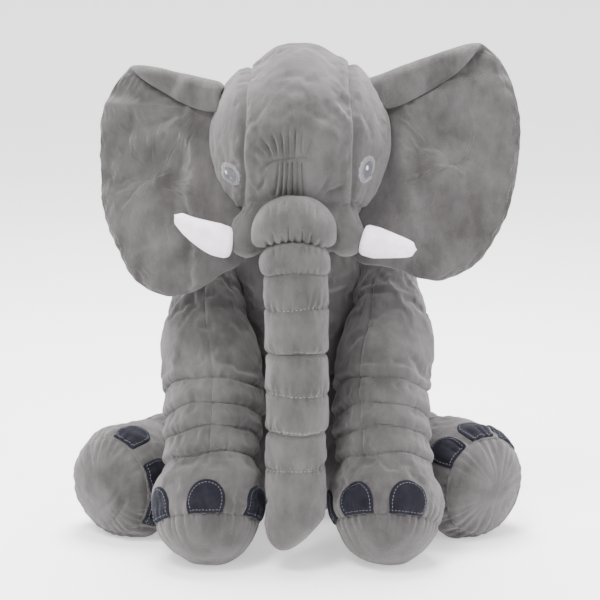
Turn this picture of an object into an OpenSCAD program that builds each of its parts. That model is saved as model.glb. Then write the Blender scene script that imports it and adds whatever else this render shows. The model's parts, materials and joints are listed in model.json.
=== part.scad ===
// A stuffed elephant that sits on the floor, about 60 cm high, in plush with fibre filling.
// Millimetres. +Z is up, the face looks towards -Y, and "left" is the side towards -X.
// Every soft piece is a sewn cover around its own filling. Legs, ears, tusks, trunk and tail
// are stuffed one by one and sewn on, so each turns a little about its seam.

/* [Head] */
// Radius of the stuffed head
head_r = 114; // [112:0.5:115]
// Height of the head's centre above the floor
head_z = 486; // [484:1:488]
// Sideways tilt of the ears, tusks and eyes about the head's centre, in degrees
head_roll = 2.5; // [0:0.5:3]
// Width of the centre panel that runs from the brow over the crown
crown_w = 122; // [100:1:130]

/* [Ears] */
// Width of an ear from its root to its outer edge
ear_w = 160; // [140:1:162]
// Thickness of an ear over both faces
ear_t = 16; // [12:1:17]
// Lean of the ear roots, lower end forward, in degrees
ear_lean = 12.5; // [11:0.5:13]
// How far the left ear is turned forward, in degrees
ear_turn_left = 20; // [10:1:20]
// How far the right ear is turned forward, in degrees
ear_turn_right = 2; // [0:1:8]

/* [Trunk] */
// Radius of the trunk at its top
trunk_r = 37; // [34:0.5:37.5]
// Radius of the trunk near its tip
trunk_tip_r = 35; // [32:0.5:35.5]
// Lean of the trunk, lower end forward, in degrees
trunk_lean = 5; // [3:0.5:6]

/* [Tusks] */
// Radius of a tusk at its base
tusk_r = 18.5; // [16:0.5:19]
// Radius of a tusk's rounded end
tusk_end_r = 7; // [5:0.5:8]

/* [Front legs] */
// Radius of a front leg at its ankle
leg_r = 57; // [54:0.5:58]
// Radius of a front foot
front_foot_r = 65.5; // [62:0.5:66]
// Lean of a front leg, foot forward, in degrees
leg_lean = 30; // [29:0.5:31]

/* [Hind legs] */
// Radius of a hind foot
hind_foot_r = 68; // [66:0.5:68]
// How far a hind leg points outward from straight ahead, in degrees
hind_turn = 36; // [34:0.5:38]

/* [Cover] */
// Thickness of the plush with its backing and seam
cover_t = 3; // [2:0.5:4]
// Gap between pieces that move against each other
seam_gap = 0.6; // [0.5:0.1:1]

/* [Hidden] */

$fn = 96;
LEFT = -1;
RIGHT = 1;
BIG = 900;
plush_grey = "#8a8682";
nail_navy = "#2b2c3a";
tusk_white = "#efe9ee";
fibre_white = "#f4f2ee";

// The torso is a tapered pear: a wide seat ball and a narrower chest ball, joined by a cone.
seat_c = [0, 82, 96];
seat_r = 106;
chest_c = [0, 25, 325];
chest_r = 78;

head_c = [2, -35, head_z];
fill_gap = 0.4;

// Front legs: the sole's seam circle, its centre, and the shoulder at the other end of the leg.
sole_x = 105.5;
sole_y = -151;
sole_z = 46.2;
sole_r = 61.5;
sole_dome_h = 46;
leg_len = 308;
shoulder_r = 38;
ankle_folds = [74, 104, 132, 164];

// Hind legs: the sole's seam circle and the hip at the other end of the leg.
hind_sole_x = 228;
hind_sole_y = -60;
hind_sole_z = 66.5;
hind_sole_r = 62.5;
hind_dome_h = 22;
hind_len = 190;
hip_r = 64;

// Trunk: distances down its own axis from the snout to each stitched ring, and its two joints.
trunk_top = [-1, -149, 350];
trunk_rings = [43, 95, 142, 186, 228];
trunk_len = 330;
ball_r = 34.5;
ball_drop = 16;

// Ears: points of the outline as [share of the width, height above the floor at the root].
ear_root_x = 119.5;
ear_root_y = -45;
ear_root_z = 520;
ear_points = [
    [0.00, 30], [0.30, 52], [0.70, 62], [0.93, 36], [1.00, -40], [0.93, -115],
    [0.70, -178], [0.36, -212], [0.08, -196], [0.00, -150], [0.00, -90]
];

// Zip down the back seam, in its own frame: X across, Y up along the seam, Z out of the back.
zip_len = 150;
torso_taper = asin((seat_r - chest_r) / norm(chest_c - seat_c));
zip_lean = atan2(seat_c[1] - chest_c[1], chest_c[2] - seat_c[2]) + torso_taper;
zip_mid = seat_c + seat_r * [0, cos(zip_lean), sin(zip_lean)] + 71 * [0, -sin(zip_lean), cos(zip_lean)];
chain_w = 6;
chain_h = 2;
slot_w = 13;

function unit(v) = v / norm(v);

// A smooth closed curve through all the points of a list, with n steps from each to the next.
function through(p, n) = [
    for (i = [0:len(p) - 1], j = [0:n - 1])
    let (
        t = j / n,
        a = p[(i + len(p) - 1) % len(p)], b = p[i],
        c = p[(i + 1) % len(p)], d = p[(i + 2) % len(p)]
    )
    0.5 * (2 * b + (c - a) * t + (2 * a - 5 * b + 4 * c - d) * t * t + (3 * b - 3 * c + d - a) * t * t * t)
];

// Puffs out between the folds of a sewn tube: a rounded bulge from one fold to the next.
function puff(s0, s1, r, depth) = [
    [r - depth, s0], [r - depth * 0.2, s0 + (s1 - s0) * 0.22], [r, (s0 + s1) / 2],
    [r - depth * 0.2, s0 + (s1 - s0) * 0.78], [r - depth, s1]
];

// Turns the Z axis to the direction of v and moves the origin to p.
module aim(p, v) {
    translate(p)
        rotate([0, acos(v[2] / norm(v)), atan2(v[1], v[0])])
            children();
}

// The half of a flat shape that lies at X > 0, ready to be turned about its axis.
module right_half() {
    intersection() {
        children();
        translate([0, -BIG])
            square([BIG, 2 * BIG]);
    }
}

// Half outline of two balls, d apart along Y, joined by their tangent cone.
module bone_half(r1, r2, d) {
    tilt = asin((r1 - r2) / d);
    right_half() {
        circle(r1);
        translate([0, d])
            circle(r2);
        polygon([
            [0, 0], [r1 * cos(tilt), r1 * sin(tilt)],
            [r2 * cos(tilt), d + r2 * sin(tilt)], [0, d]
        ]);
    }
}

module bone(p1, r1, p2, r2) {
    aim(p1, p2 - p1)
        rotate_extrude()
            bone_half(r1, r2, norm(p2 - p1));
}

// The same as a hollow skin of thickness t.
module bone_skin(p1, r1, p2, r2, t) {
    aim(p1, p2 - p1)
        rotate_extrude()
            difference() {
                bone_half(r1, r2, norm(p2 - p1));
                bone_half(r1 - t, r2 - t, norm(p2 - p1));
            }
}

module below_floor() {
    translate([-BIG, -BIG, -BIG])
        cube([2 * BIG, 2 * BIG, BIG]);
}

// ---- places that several pieces share ----
function front_axis(side) = [0, sin(leg_lean), cos(leg_lean)];
function front_sole_c(side) = [side * sole_x, sole_y, sole_z];
function shoulder_c(side) = front_sole_c(side) + leg_len * front_axis(side) + [side * 10, 0, 0];
function hind_axis(side) = [-side * sin(hind_turn), cos(hind_turn), 0];
function hind_sole_c(side) = [side * hind_sole_x, hind_sole_y, hind_sole_z];
function hip_c(side) = hind_sole_c(side) + hind_len * hind_axis(side);
function trunk_dir() = [0, -sin(trunk_lean), -cos(trunk_lean)];
function trunk_at(s) = trunk_top + s * trunk_dir();
function ring_ball(k) = trunk_at((k == 0 ? 0 : trunk_rings[2 * k - 1]) + ball_drop);

module about_head_roll() {
    translate(head_c)
        rotate([0, -head_roll, 0])
            translate(-head_c)
                children();
}

// ---- torso ----
module torso_solid(inset) {
    difference() {
        bone(seat_c, seat_r - inset, chest_c, chest_r - inset);
        translate([0, 0, inset])
            below_floor();
    }
}

// Room that the legs need in the torso, wider down the leg because it swings there.
module leg_sockets(room) {
    for (side = [LEFT, RIGHT]) {
        bone(shoulder_c(side), shoulder_r + room + 3,
             front_sole_c(side) + 150 * front_axis(side), leg_r + room + 8);
        bone(hip_c(side), hip_r + room, hind_sole_c(side), hip_r + room + 16);
    }
}

module zip_frame() {
    translate(zip_mid)
        rotate([90, 0, 180])
            rotate([-zip_lean, 0, 0])
                children();
}

module zip_slot() {
    zip_frame()
        translate([-slot_w / 2, -zip_len / 2, -12])
            cube([slot_w, zip_len, 30]);
}

module torso_shell() {
    difference() {
        torso_solid(0);
        torso_solid(cover_t);
        leg_sockets(seam_gap);
        zip_slot();
    }
}

base_h = 14;

module torso_cover() {
    color(plush_grey)
        difference() {
            torso_shell();
            translate([-BIG / 2, -BIG / 2, base_h - BIG])
                cube(BIG);
        }
}

module torso_base_panel() {
    color(plush_grey)
        intersection() {
            torso_shell();
            translate([-BIG / 2, -BIG / 2, 0])
                cube([BIG, BIG, base_h]);
        }
}

module torso_filling() {
    color(fibre_white)
        difference() {
            torso_solid(cover_t + fill_gap);
            leg_sockets(seam_gap + 6);
            zip_frame()
                translate([-18, -zip_len / 2 - 8, -9])
                    cube([36, zip_len + 16, 30]);
        }
}

// A satin label, left blank, sewn into the seat seam beside the tail.
module care_label() {
    color("white")
        translate([seat_c[0], seat_c[1], 0])
            rotate([0, 0, -30])
                translate([-11, 86, 3])
                    cube([22, 0.8, 30]);
}

// ---- tail ----
tail_root = [0, 196, 108];
tail_tip = [0, 199, 30];

module tail_cover() {
    color(plush_grey)
        difference() {
            bone(tail_root, 8, tail_tip, 5.5);
            translate(tail_tip + [0, 0, -20])
                cylinder(r = 12, h = 20);
        }
}

module tail_tuft() {
    color(plush_grey)
        translate(tail_tip + [0, 0, -24])
            rotate_extrude()
                right_half() {
                    translate([0, 9])
                        circle(7.5);
                    polygon([[0, 9], [7.4, 9], [5, 23.6], [0, 23.6]]);
                }
}

// ---- zip ----
module zip_tape() {
    color("#6b6865")
        zip_frame()
            translate([-13, -zip_len / 2 - 5, -6.4])
                cube([26, zip_len + 10, 1]);
}

tooth_pitch = 3.1;
module zip_teeth() {
    color("#55524f")
        zip_frame()
            for (k = [0:floor((zip_len - 24) / tooth_pitch)])
                for (side = [LEFT, RIGHT])
                    translate([side > 0 ? 0.15 : -chain_w / 2,
                               -zip_len / 2 + 6 + k * tooth_pitch + (side > 0 ? 0 : tooth_pitch / 2), -5.4])
                        cube([chain_w / 2 - 0.15, 1.35, chain_h]);
}

slider_l = 14;
slider_h = 4.6;
slider_w = 10;
slider_y = zip_len / 2 - 22;
module zip_slider() {
    color("#8d8f94")
        zip_frame()
            translate([0, slider_y, -5]) {
                difference() {
                    translate([-slider_w / 2, 0, 0])
                        cube([slider_w, slider_l, slider_h]);
                    translate([-chain_w / 2 - 0.4, -1, -1])
                        cube([chain_w + 0.8, slider_l + 2, 1 + chain_h + 0.1]);
                }
                for (side = [LEFT, RIGHT])
                    translate([side * 2.6 - 0.7, slider_l / 2 - 2, slider_h])
                        cube([1.4, 4, 2.6]);
                translate([-2.6, slider_l / 2, slider_h + 1.6])
                    rotate([0, 90, 0])
                        cylinder(d = 1.2, h = 5.2);
            }
}

module zip_pull_tab() {
    color("#8d8f94")
        zip_frame()
            translate([0, slider_y + slider_l / 2, -5 + slider_h + 1.6])
                difference() {
                    union() {
                        translate([-1.6, -16, -0.7])
                            cube([3.2, 16, 1.4]);
                        translate([-1.6, 0, 0])
                            rotate([0, 90, 0])
                                cylinder(d = 2.8, h = 3.2);
                        translate([0, -20, -0.7])
                            cylinder(d = 9, h = 1.4);
                    }
                    translate([-3, 0, 0])
                        rotate([0, 90, 0])
                            cylinder(d = 1.36, h = 6);
                    translate([0, -21, -2])
                        cylinder(d = 4, h = 4);
                }
}

// ---- head ----
module neck_socket(room) {
    translate(chest_c)
        sphere(chest_r + room);
}

module head_shell() {
    difference() {
        translate(head_c)
            sphere(head_r);
        translate(head_c)
            sphere(head_r - cover_t);
        neck_socket(seam_gap);
    }
}

module crown_slab() {
    translate(head_c + [-crown_w / 2, -BIG / 2, -BIG / 2])
        cube([crown_w, BIG, BIG]);
}

module head_centre_panel() {
    color(plush_grey)
        intersection() {
            head_shell();
            crown_slab();
        }
}

module head_side_panel(side) {
    color(plush_grey)
        intersection() {
            head_shell();
            translate(head_c + [side > 0 ? crown_w / 2 : -BIG - crown_w / 2, -BIG / 2, -BIG / 2])
                cube(BIG);
        }
}

module head_left_panel() {
    head_side_panel(LEFT);
}

module head_right_panel() {
    head_side_panel(RIGHT);
}

module head_filling() {
    color(fibre_white)
        difference() {
            translate(head_c)
                sphere(head_r - cover_t - fill_gap);
            neck_socket(seam_gap + cover_t);
        }
}

module trunk_socket() {
    translate(ring_ball(0))
        sphere(ball_r + seam_gap);
}

module head_ball() {
    translate(head_c)
        sphere(head_r);
}

module brow_roll_solid() {
    bone([-28, -143, 410], 24, [20, -143, 410], 24);
}

module snout_roll_solid() {
    bone([-22, -150, 369], 17.6, [20, -150, 369], 17.6);
}

module muzzle_solid() {
    translate([-2, -98, 392])
        sphere(45);
}

module brow_roll() {
    color(plush_grey)
        difference() {
            brow_roll_solid();
            head_ball();
        }
}

module snout_roll() {
    color(plush_grey)
        difference() {
            snout_roll_solid();
            brow_roll_solid();
            trunk_socket();
        }
}

module muzzle_cover() {
    color(plush_grey)
        difference() {
            muzzle_solid();
            head_ball();
            brow_roll_solid();
            snout_roll_solid();
            trunk_socket();
            neck_socket(seam_gap);
        }
}

// ---- tusks, sewn into the end of each cheek ----
function tusk_base(side) = side < 0 ? [-77, -124, 379] : [75, -122, 382];
function tusk_end(side) = side < 0 ? [-138, -134, 405] : [136, -132, 371];

module cheek(side) {
    color(plush_grey)
        difference() {
            bone([side * 57 - 2, -118, 384], 23, tusk_base(side), 21);
            translate(tusk_base(side))
                sphere(tusk_r + seam_gap);
            aim(tusk_base(side), tusk_end(side) - tusk_base(side))
                translate([0, 0, 3])
                    cylinder(r = 40, h = 80);
            head_ball();
            muzzle_solid();
        }
}

module left_cheek() {
    cheek(LEFT);
}

module right_cheek() {
    cheek(RIGHT);
}

module tusk(side, inset) {
    bone(tusk_base(side), tusk_r - inset, tusk_end(side), tusk_end_r - inset);
}

module tusk_cover(side) {
    color(tusk_white)
        bone_skin(tusk_base(side), tusk_r, tusk_end(side), tusk_end_r, 2);
}

module tusk_filling(side) {
    color(fibre_white)
        tusk(side, 2 + fill_gap);
}

module left_tusk_cover() {
    tusk_cover(LEFT);
}

module left_tusk_filling() {
    tusk_filling(LEFT);
}

module right_tusk_cover() {
    tusk_cover(RIGHT);
}

module right_tusk_filling() {
    tusk_filling(RIGHT);
}

// ---- embroidered eyes ----
module eye(side) {
    spot = unit([side < 0 ? -85 : 77, -72, side < 0 ? -25 : -22]);
    color("#b9b6b6")
        aim(head_c, spot)
            rotate_extrude($fn = 180)
                right_half()
                    intersection() {
                        difference() {
                            circle(head_r + 1.2);
                            circle(head_r + 0.1);
                        }
                        translate([0, 90])
                            square([11.5, 40]);
                    }
}

module left_eye() {
    eye(LEFT);
}

module right_eye() {
    eye(RIGHT);
}

// ---- ears ----
module ear_frame(side) {
    turn = side < 0 ? ear_turn_left : ear_turn_right;
    about_head_roll()
        translate([side * ear_root_x + head_c[0], ear_root_y, ear_root_z])
            rotate([90 - ear_lean, 0, 0])
                rotate([0, side * turn, 0])
                    scale([side, 1, 1])
                        children();
}

module ear_plate(inset) {
    middle = [0.5 * ear_w, -80];
    shrink = 1 - inset / 85;
    outline = [for (p = through(ear_points, 5)) middle + shrink * ([p[0] * ear_w, p[1]] - middle)];
    translate([0, 0, inset - ear_t / 2])
        linear_extrude(ear_t - 2 * inset)
            polygon(outline);
}

module ear_shell() {
    difference() {
        ear_plate(0);
        ear_plate(cover_t);
    }
}

module ear_half(side, front) {
    color(plush_grey)
        ear_frame(side)
            intersection() {
                ear_shell();
                translate([-BIG / 2, -BIG / 2, front ? 0 : -BIG])
                    cube(BIG);
            }
}

module ear_wadding(side) {
    color(fibre_white)
        ear_frame(side)
            ear_plate(cover_t + fill_gap);
}

module left_ear_front() {
    ear_half(LEFT, true);
}

module left_ear_back() {
    ear_half(LEFT, false);
}

module left_ear_wadding() {
    ear_wadding(LEFT);
}

module right_ear_front() {
    ear_half(RIGHT, true);
}

module right_ear_back() {
    ear_half(RIGHT, false);
}

module right_ear_wadding() {
    ear_wadding(RIGHT);
}

// ---- trunk, in three lengths that bend at stitched rings ----
function ring_at(k) = k < 0 ? 0 : k > 4 ? trunk_len : trunk_rings[k];
function trunk_radius(s) = trunk_r + (trunk_tip_r - trunk_r) * s / trunk_len;

// Half outline of length k, from its ball down to its lower fold, with Y down the trunk.
module trunk_half(k, inset) {
    s_ball = ring_at(2 * k - 1) + ball_drop;
    s_fold = ring_at(2 * k);
    s_end = (k < 2 ? ring_at(2 * k + 1) : trunk_len - 34) - (inset > 0 && k < 2 ? 2 : 0);
    right_half() {
        translate([0, s_ball])
            circle(ball_r - inset);
        polygon(concat(
            [[0, s_ball]],
            puff(s_ball, s_fold, trunk_radius(s_ball) - inset, 2.2),
            puff(s_fold + 0.5, s_end, trunk_radius(s_fold) - inset, k < 2 ? 2.2 : 1),
            [[0, s_end]]
        ));
        if (k == 2)
            translate([0, trunk_len - 34])
                circle(34 - inset);
    }
}

module along_trunk() {
    aim(trunk_top, trunk_dir())
        rotate_extrude()
            children();
}

module next_ball(k, room) {
    if (k < 2)
        translate(ring_ball(k + 1))
            sphere(ball_r + room);
}

module trunk_cover(k) {
    color(plush_grey)
        difference() {
            along_trunk()
                difference() {
                    trunk_half(k, 0);
                    trunk_half(k, cover_t);
                }
            next_ball(k, seam_gap);
        }
}

module trunk_filling(k) {
    color(fibre_white)
        difference() {
            along_trunk()
                trunk_half(k, cover_t + fill_gap);
            next_ball(k, seam_gap + 2);
        }
}

module trunk_upper_cover() {
    trunk_cover(0);
}

module trunk_upper_filling() {
    trunk_filling(0);
}

module trunk_middle_cover() {
    trunk_cover(1);
}

module trunk_middle_filling() {
    trunk_filling(1);
}

module trunk_tip_cover() {
    trunk_cover(2);
}

module trunk_tip_filling() {
    trunk_filling(2);
}

// ---- front legs ----
// Half outline of a front leg, with Y from the sole's seam up to the shoulder.
module front_half(inset) {
    r = leg_r - inset;
    f = ankle_folds;
    low = inset > 0 ? 0.5 : 0;
    right_half() {
        polygon(concat(
            [[0, low], [sole_r - inset, low]],
            [[front_foot_r - 1.5 - inset, 12], [front_foot_r - inset, 26], [front_foot_r - 1 - inset, 42]],
            [[r + 2, f[0] - 12], [r - 1, f[0]]],
            [for (i = [0:2]) each puff(f[i] + 0.5, f[i + 1], r + 1, 2)],
            [[r + 0.5, f[3] + 4], [r + 1, f[3] + 40]],
            [[(shoulder_r - inset) * cos(12), leg_len + (shoulder_r - inset) * sin(12)], [0, leg_len]]
        ));
        translate([0, leg_len])
            circle(shoulder_r - inset);
    }
}

module front_leg_frame(side) {
    aim(front_sole_c(side), shoulder_c(side) - front_sole_c(side))
        children();
}

module disc_half(r, h) {
    translate([0, -1])
        square([r, h]);
}

// Half outline of a domed sole: the cap of a ball, h high over a seam circle of radius r, below Y = 0.
module cap_half(r, h, inset) {
    ball = (r * r + h * h) / (2 * h);
    right_half()
        intersection() {
            translate([0, ball - h])
                circle(ball - inset);
            translate([0, -h])
                square([r + 20, h - 0.1]);
        }
}

module front_leg_cover(side) {
    color(plush_grey)
        difference() {
            front_leg_frame(side)
                rotate_extrude()
                    difference() {
                        front_half(0);
                        front_half(cover_t);
                        disc_half(sole_r - cover_t, 3);
                    }
            below_floor();
        }
}

module front_sole(side) {
    color(plush_grey)
        difference() {
            front_leg_frame(side)
                rotate_extrude()
                    difference() {
                        cap_half(sole_r, sole_dome_h, 0);
                        cap_half(sole_r, sole_dome_h, cover_t);
                    }
            below_floor();
        }
}

module front_leg_filling(side) {
    color(fibre_white)
        difference() {
            front_leg_frame(side)
                rotate_extrude() {
                    front_half(cover_t + fill_gap);
                    cap_half(sole_r, sole_dome_h, cover_t + fill_gap);
                    disc_half(sole_r - cover_t - 2, 8);
                }
            translate([0, 0, 2])
                below_floor();
        }
}

// Felt nails: a band just outside the foot, cut to arches, each straight where it meets the sole.
nail_t = 1.2;
nail_w = 38;
nail_h = 37;

module nail_arch() {
    translate([0, nail_h - nail_w / 2])
        circle(d = nail_w);
    translate([-nail_w / 2, 3])
        square([nail_w, nail_h - nail_w / 2 - 3]);
}

module nails(foot_r, bottom_r, angles) {
    intersection() {
        rotate_extrude()
            polygon([
                [bottom_r + 0.5, 1], [foot_r + 0.1 - 1.5, 12.2], [foot_r + 0.1, 26], [foot_r - 0.9, 42],
                [foot_r - 0.9 + nail_t, 42], [foot_r + 0.1 + nail_t, 26], [foot_r - 1.4 + nail_t, 12.2],
                [bottom_r + 0.5 + nail_t, 1]
            ]);
        for (a = angles)
            rotate([0, 0, a])
                rotate([90, 0, 0])
                    translate([0, 0, foot_r - 30])
                        linear_extrude(40)
                            nail_arch();
    }
}

module front_nails(side, angles) {
    color(nail_navy)
        front_leg_frame(side)
            rotate([0, 0, -90])
                nails(front_foot_r, sole_r, angles);
}

module left_front_leg_cover() {
    front_leg_cover(LEFT);
}

module left_front_sole() {
    front_sole(LEFT);
}

module left_front_toenails() {
    front_nails(LEFT, [-58, 0, 58]);
}

module left_front_leg_filling() {
    front_leg_filling(LEFT);
}

module right_front_leg_cover() {
    front_leg_cover(RIGHT);
}

module right_front_sole() {
    front_sole(RIGHT);
}

module right_front_toenails() {
    front_nails(RIGHT, [-85, -28, 28]);
}

module right_front_leg_filling() {
    front_leg_filling(RIGHT);
}

// ---- hind legs ----
// Half outline of a hind leg, with Y from the sole's seam back to the hip.
module hind_half(inset) {
    low = inset > 0 ? 0.5 : 0;
    right_half() {
        polygon([
            [0, low], [hind_sole_r - inset, low], [hind_foot_r - 1.5 - inset, 12],
            [hind_foot_r - inset, 26], [hind_foot_r - 1 - inset, 42],
            [hip_r - inset, 70], [hip_r - inset, hind_len], [0, hind_len]
        ]);
        translate([0, hind_len])
            circle(hip_r - inset);
    }
}

module hind_leg_frame(side) {
    aim(hind_sole_c(side), hind_axis(side))
        children();
}

module hind_leg_cover(side) {
    color(plush_grey)
        difference() {
            hind_leg_frame(side)
                rotate_extrude()
                    difference() {
                        hind_half(0);
                        hind_half(cover_t);
                        disc_half(hind_sole_r - cover_t, 3);
                    }
            below_floor();
        }
}

module hind_sole(side) {
    color(plush_grey)
        hind_leg_frame(side)
            rotate_extrude()
                difference() {
                    cap_half(hind_sole_r, hind_dome_h, 0);
                    cap_half(hind_sole_r, hind_dome_h, cover_t);
                }
}

module hind_leg_filling(side) {
    color(fibre_white)
        difference() {
            hind_leg_frame(side)
                rotate_extrude() {
                    hind_half(cover_t + fill_gap);
                    cap_half(hind_sole_r, hind_dome_h, cover_t + fill_gap);
                    disc_half(hind_sole_r - cover_t - 6, 8);
                }
            translate([0, 0, 2])
                below_floor();
        }
}

module hind_nails(side, angles) {
    color(nail_navy)
        hind_leg_frame(side)
            rotate([0, 0, -90])
                nails(hind_foot_r, hind_sole_r, angles);
}

module left_hind_leg_cover() {
    hind_leg_cover(LEFT);
}

module left_hind_sole() {
    hind_sole(LEFT);
}

module left_hind_toenails() {
    hind_nails(LEFT, [20, 62, 104]);
}

module left_hind_leg_filling() {
    hind_leg_filling(LEFT);
}

module right_hind_leg_cover() {
    hind_leg_cover(RIGHT);
}

module right_hind_sole() {
    hind_sole(RIGHT);
}

module right_hind_toenails() {
    hind_nails(RIGHT, [-50, -5, 38]);
}

module right_hind_leg_filling() {
    hind_leg_filling(RIGHT);
}

torso_cover();
torso_base_panel();
torso_filling();
care_label();
tail_cover();
tail_tuft();
zip_tape();
zip_teeth();
zip_slider();
zip_pull_tab();
head_centre_panel();
head_left_panel();
head_right_panel();
head_filling();
muzzle_cover();
brow_roll();
snout_roll();
left_cheek();
right_cheek();
left_eye();
right_eye();
left_ear_front();
left_ear_back();
left_ear_wadding();
right_ear_front();
right_ear_back();
right_ear_wadding();
left_tusk_cover();
left_tusk_filling();
right_tusk_cover();
right_tusk_filling();
trunk_upper_cover();
trunk_upper_filling();
trunk_middle_cover();
trunk_middle_filling();
trunk_tip_cover();
trunk_tip_filling();
left_front_leg_cover();
left_front_sole();
left_front_toenails();
left_front_leg_filling();
right_front_leg_cover();
right_front_sole();
right_front_toenails();
right_front_leg_filling();
left_hind_leg_cover();
left_hind_sole();
left_hind_toenails();
left_hind_leg_filling();
right_hind_leg_cover();
right_hind_sole();
right_hind_toenails();
right_hind_leg_filling();
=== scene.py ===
# %% [markdown]
# # A stuffed elephant, sewn and filled
# The toy is a set of sewn covers around loose fibre: a pear-shaped body, a ball of a head,
# big soft ears, a ringed trunk, four fat legs and two little tusks. The measured frame already
# says where each one sits and how it moves. Here every cover gets its true surface: the puff of
# the filling, the valleys of the seams, the gathers beside them, the stitches and the cloth.

import json
import math
import time

import bmesh
import bpy
import numpy as np
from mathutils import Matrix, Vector


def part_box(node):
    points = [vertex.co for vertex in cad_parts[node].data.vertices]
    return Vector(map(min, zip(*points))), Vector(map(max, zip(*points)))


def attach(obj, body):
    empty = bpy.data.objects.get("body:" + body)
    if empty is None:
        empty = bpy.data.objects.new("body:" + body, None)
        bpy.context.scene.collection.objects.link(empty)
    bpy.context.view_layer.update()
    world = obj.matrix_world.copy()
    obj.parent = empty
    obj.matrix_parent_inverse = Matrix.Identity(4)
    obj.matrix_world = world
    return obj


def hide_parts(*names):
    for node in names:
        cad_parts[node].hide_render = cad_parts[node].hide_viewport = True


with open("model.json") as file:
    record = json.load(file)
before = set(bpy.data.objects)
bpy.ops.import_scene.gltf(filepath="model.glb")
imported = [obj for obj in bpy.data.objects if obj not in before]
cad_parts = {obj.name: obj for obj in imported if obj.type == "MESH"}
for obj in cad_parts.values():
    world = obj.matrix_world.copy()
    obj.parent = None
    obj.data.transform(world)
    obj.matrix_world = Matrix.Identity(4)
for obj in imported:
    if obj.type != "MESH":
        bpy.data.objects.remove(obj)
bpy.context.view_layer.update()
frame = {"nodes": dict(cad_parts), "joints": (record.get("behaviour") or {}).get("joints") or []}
started = time.time()
MM = 0.001
joints = {j["name"]: j for j in frame["joints"]}


def joint_mm(name):
    """A joint's place, in millimetres."""
    return np.array(joints[name]["pos_m"]) * 1000


def box_mm(node):
    """The two corners of a node, in millimetres."""
    low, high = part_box(node)
    return np.array(low) * 1000, np.array(high) * 1000


def placed(name, data):
    """A new object in the scene, made from a mesh, a lamp or a camera."""
    thing = bpy.data.objects.new(name, data)
    bpy.context.scene.collection.objects.link(thing)
    return thing


def clock_print(what):
    """Say what is ready, and how long it took since the start."""
    print(what, "at", round(time.time() - started, 1), "s")


# %% [markdown]
# ## Covers as grids of points
# A stuffed cover is a closed skin: a sock with a point at each end. Modelling it by hand with
# sculpt brushes would work, but it could not be repeated. So each cover is a grid: rows run along
# the piece and columns run around it. A grid is easy to swell, crease, smooth and refine with
# plain arithmetic, and it turns into clean quads at the end.

# %% Grid helpers: refine, measure, swell
def unit(v):
    """The same directions, each one long."""
    v = np.asarray(v, float)
    return v / np.maximum(np.linalg.norm(v, axis=-1, keepdims=True), 1e-9)


def between(p0, p1, p2, p3, t):
    """A smooth step from p1 to p2 that also leads on to p0 and p3."""
    bend = (2 * p0 - 5 * p1 + 4 * p2 - p3) * t**2
    sway = (3 * p1 - 3 * p2 + p3 - p0) * t**3
    return 0.5 * (2 * p1 + (p2 - p0) * t + bend + sway)


def finer(grid, times):
    """The same skin with `times` as many rows and columns."""
    rows, cols = grid.shape[:2]
    beside = [np.roll(grid, shift, 1) for shift in (1, 0, -1, -2)]
    around = [between(*beside, k / times) for k in range(times)]
    grid = np.stack(around, 2).reshape(rows, cols * times, 3)
    padded = np.concatenate([2 * grid[:1] - grid[1:2], grid, 2 * grid[-1:] - grid[-2:-1]])
    along = [between(padded[:-3], padded[1:-2], padded[2:-1], padded[3:], k / times) for k in range(times)]
    inner = np.stack(along, 1).reshape(-1, cols * times, 3)
    return np.concatenate([inner, grid[-1:]])


def run_along(line):
    """How far along an open line each of its points lies."""
    return np.concatenate([[0], np.cumsum(np.linalg.norm(np.diff(line, axis=0), axis=1))])


def evenly(line, count, closed=False):
    """`count` points spread evenly along a line. A closed line ends on its own first point."""
    run = run_along(line)
    places = np.linspace(0, run[-1], count, endpoint=not closed)
    return np.stack([np.interp(places, run, line[:, k]) for k in range(line.shape[1])], 1)


def smooth_line(points, count, per_span=24):
    """`count` evenly spread points on a smooth open line through the given ones."""
    p = np.asarray(points, float)
    p = np.concatenate([2 * p[:1] - p[1:2], p, 2 * p[-1:] - p[-2:-1]])
    spans = [[between(*p[i : i + 4], k / per_span) for k in range(per_span)] for i in range(len(p) - 3)]
    return evenly(np.concatenate(spans + [p[-2:-1]]), count)


def outward(grid):
    """The direction that points out of the skin, at every point of the grid."""
    across = np.roll(grid, -1, 1) - np.roll(grid, 1, 1)
    along = np.gradient(grid, axis=0)
    n = unit(np.cross(across, along))
    n[0], n[-1] = unit(n[1].mean(0)), unit(n[-2].mean(0))
    centre = grid.mean((0, 1))
    return n * np.sign((n * (grid - centre)).sum(-1).mean())


def smooth_step(x, low, high):
    """Zero at `low`, one at `high`, and an even S between them."""
    t = np.clip((x - low) / (high - low), 0, 1)
    return t * t * (3 - 2 * t)


def bell(gap, width):
    """One where the gap is nothing, fading away over `width`."""
    return np.exp(-((gap / width) ** 2))


def swelled(grid, by):
    """The skin moved out along its own directions by a number of millimetres at each point."""
    return grid + outward(grid) * by[..., None]


# %% [markdown]
# ## Uneven filling, gathers and creases
# Three small rules make a turned shape look stuffed. Lumps come from fibre that never fills
# evenly. Gathers are the little valleys beside a seam, where a longer edge was sewn to a shorter
# one. Creases are single valleys along a line. Lumps and gathers are random, but each call has its
# own fixed seed, so the toy is the same each time.

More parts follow.
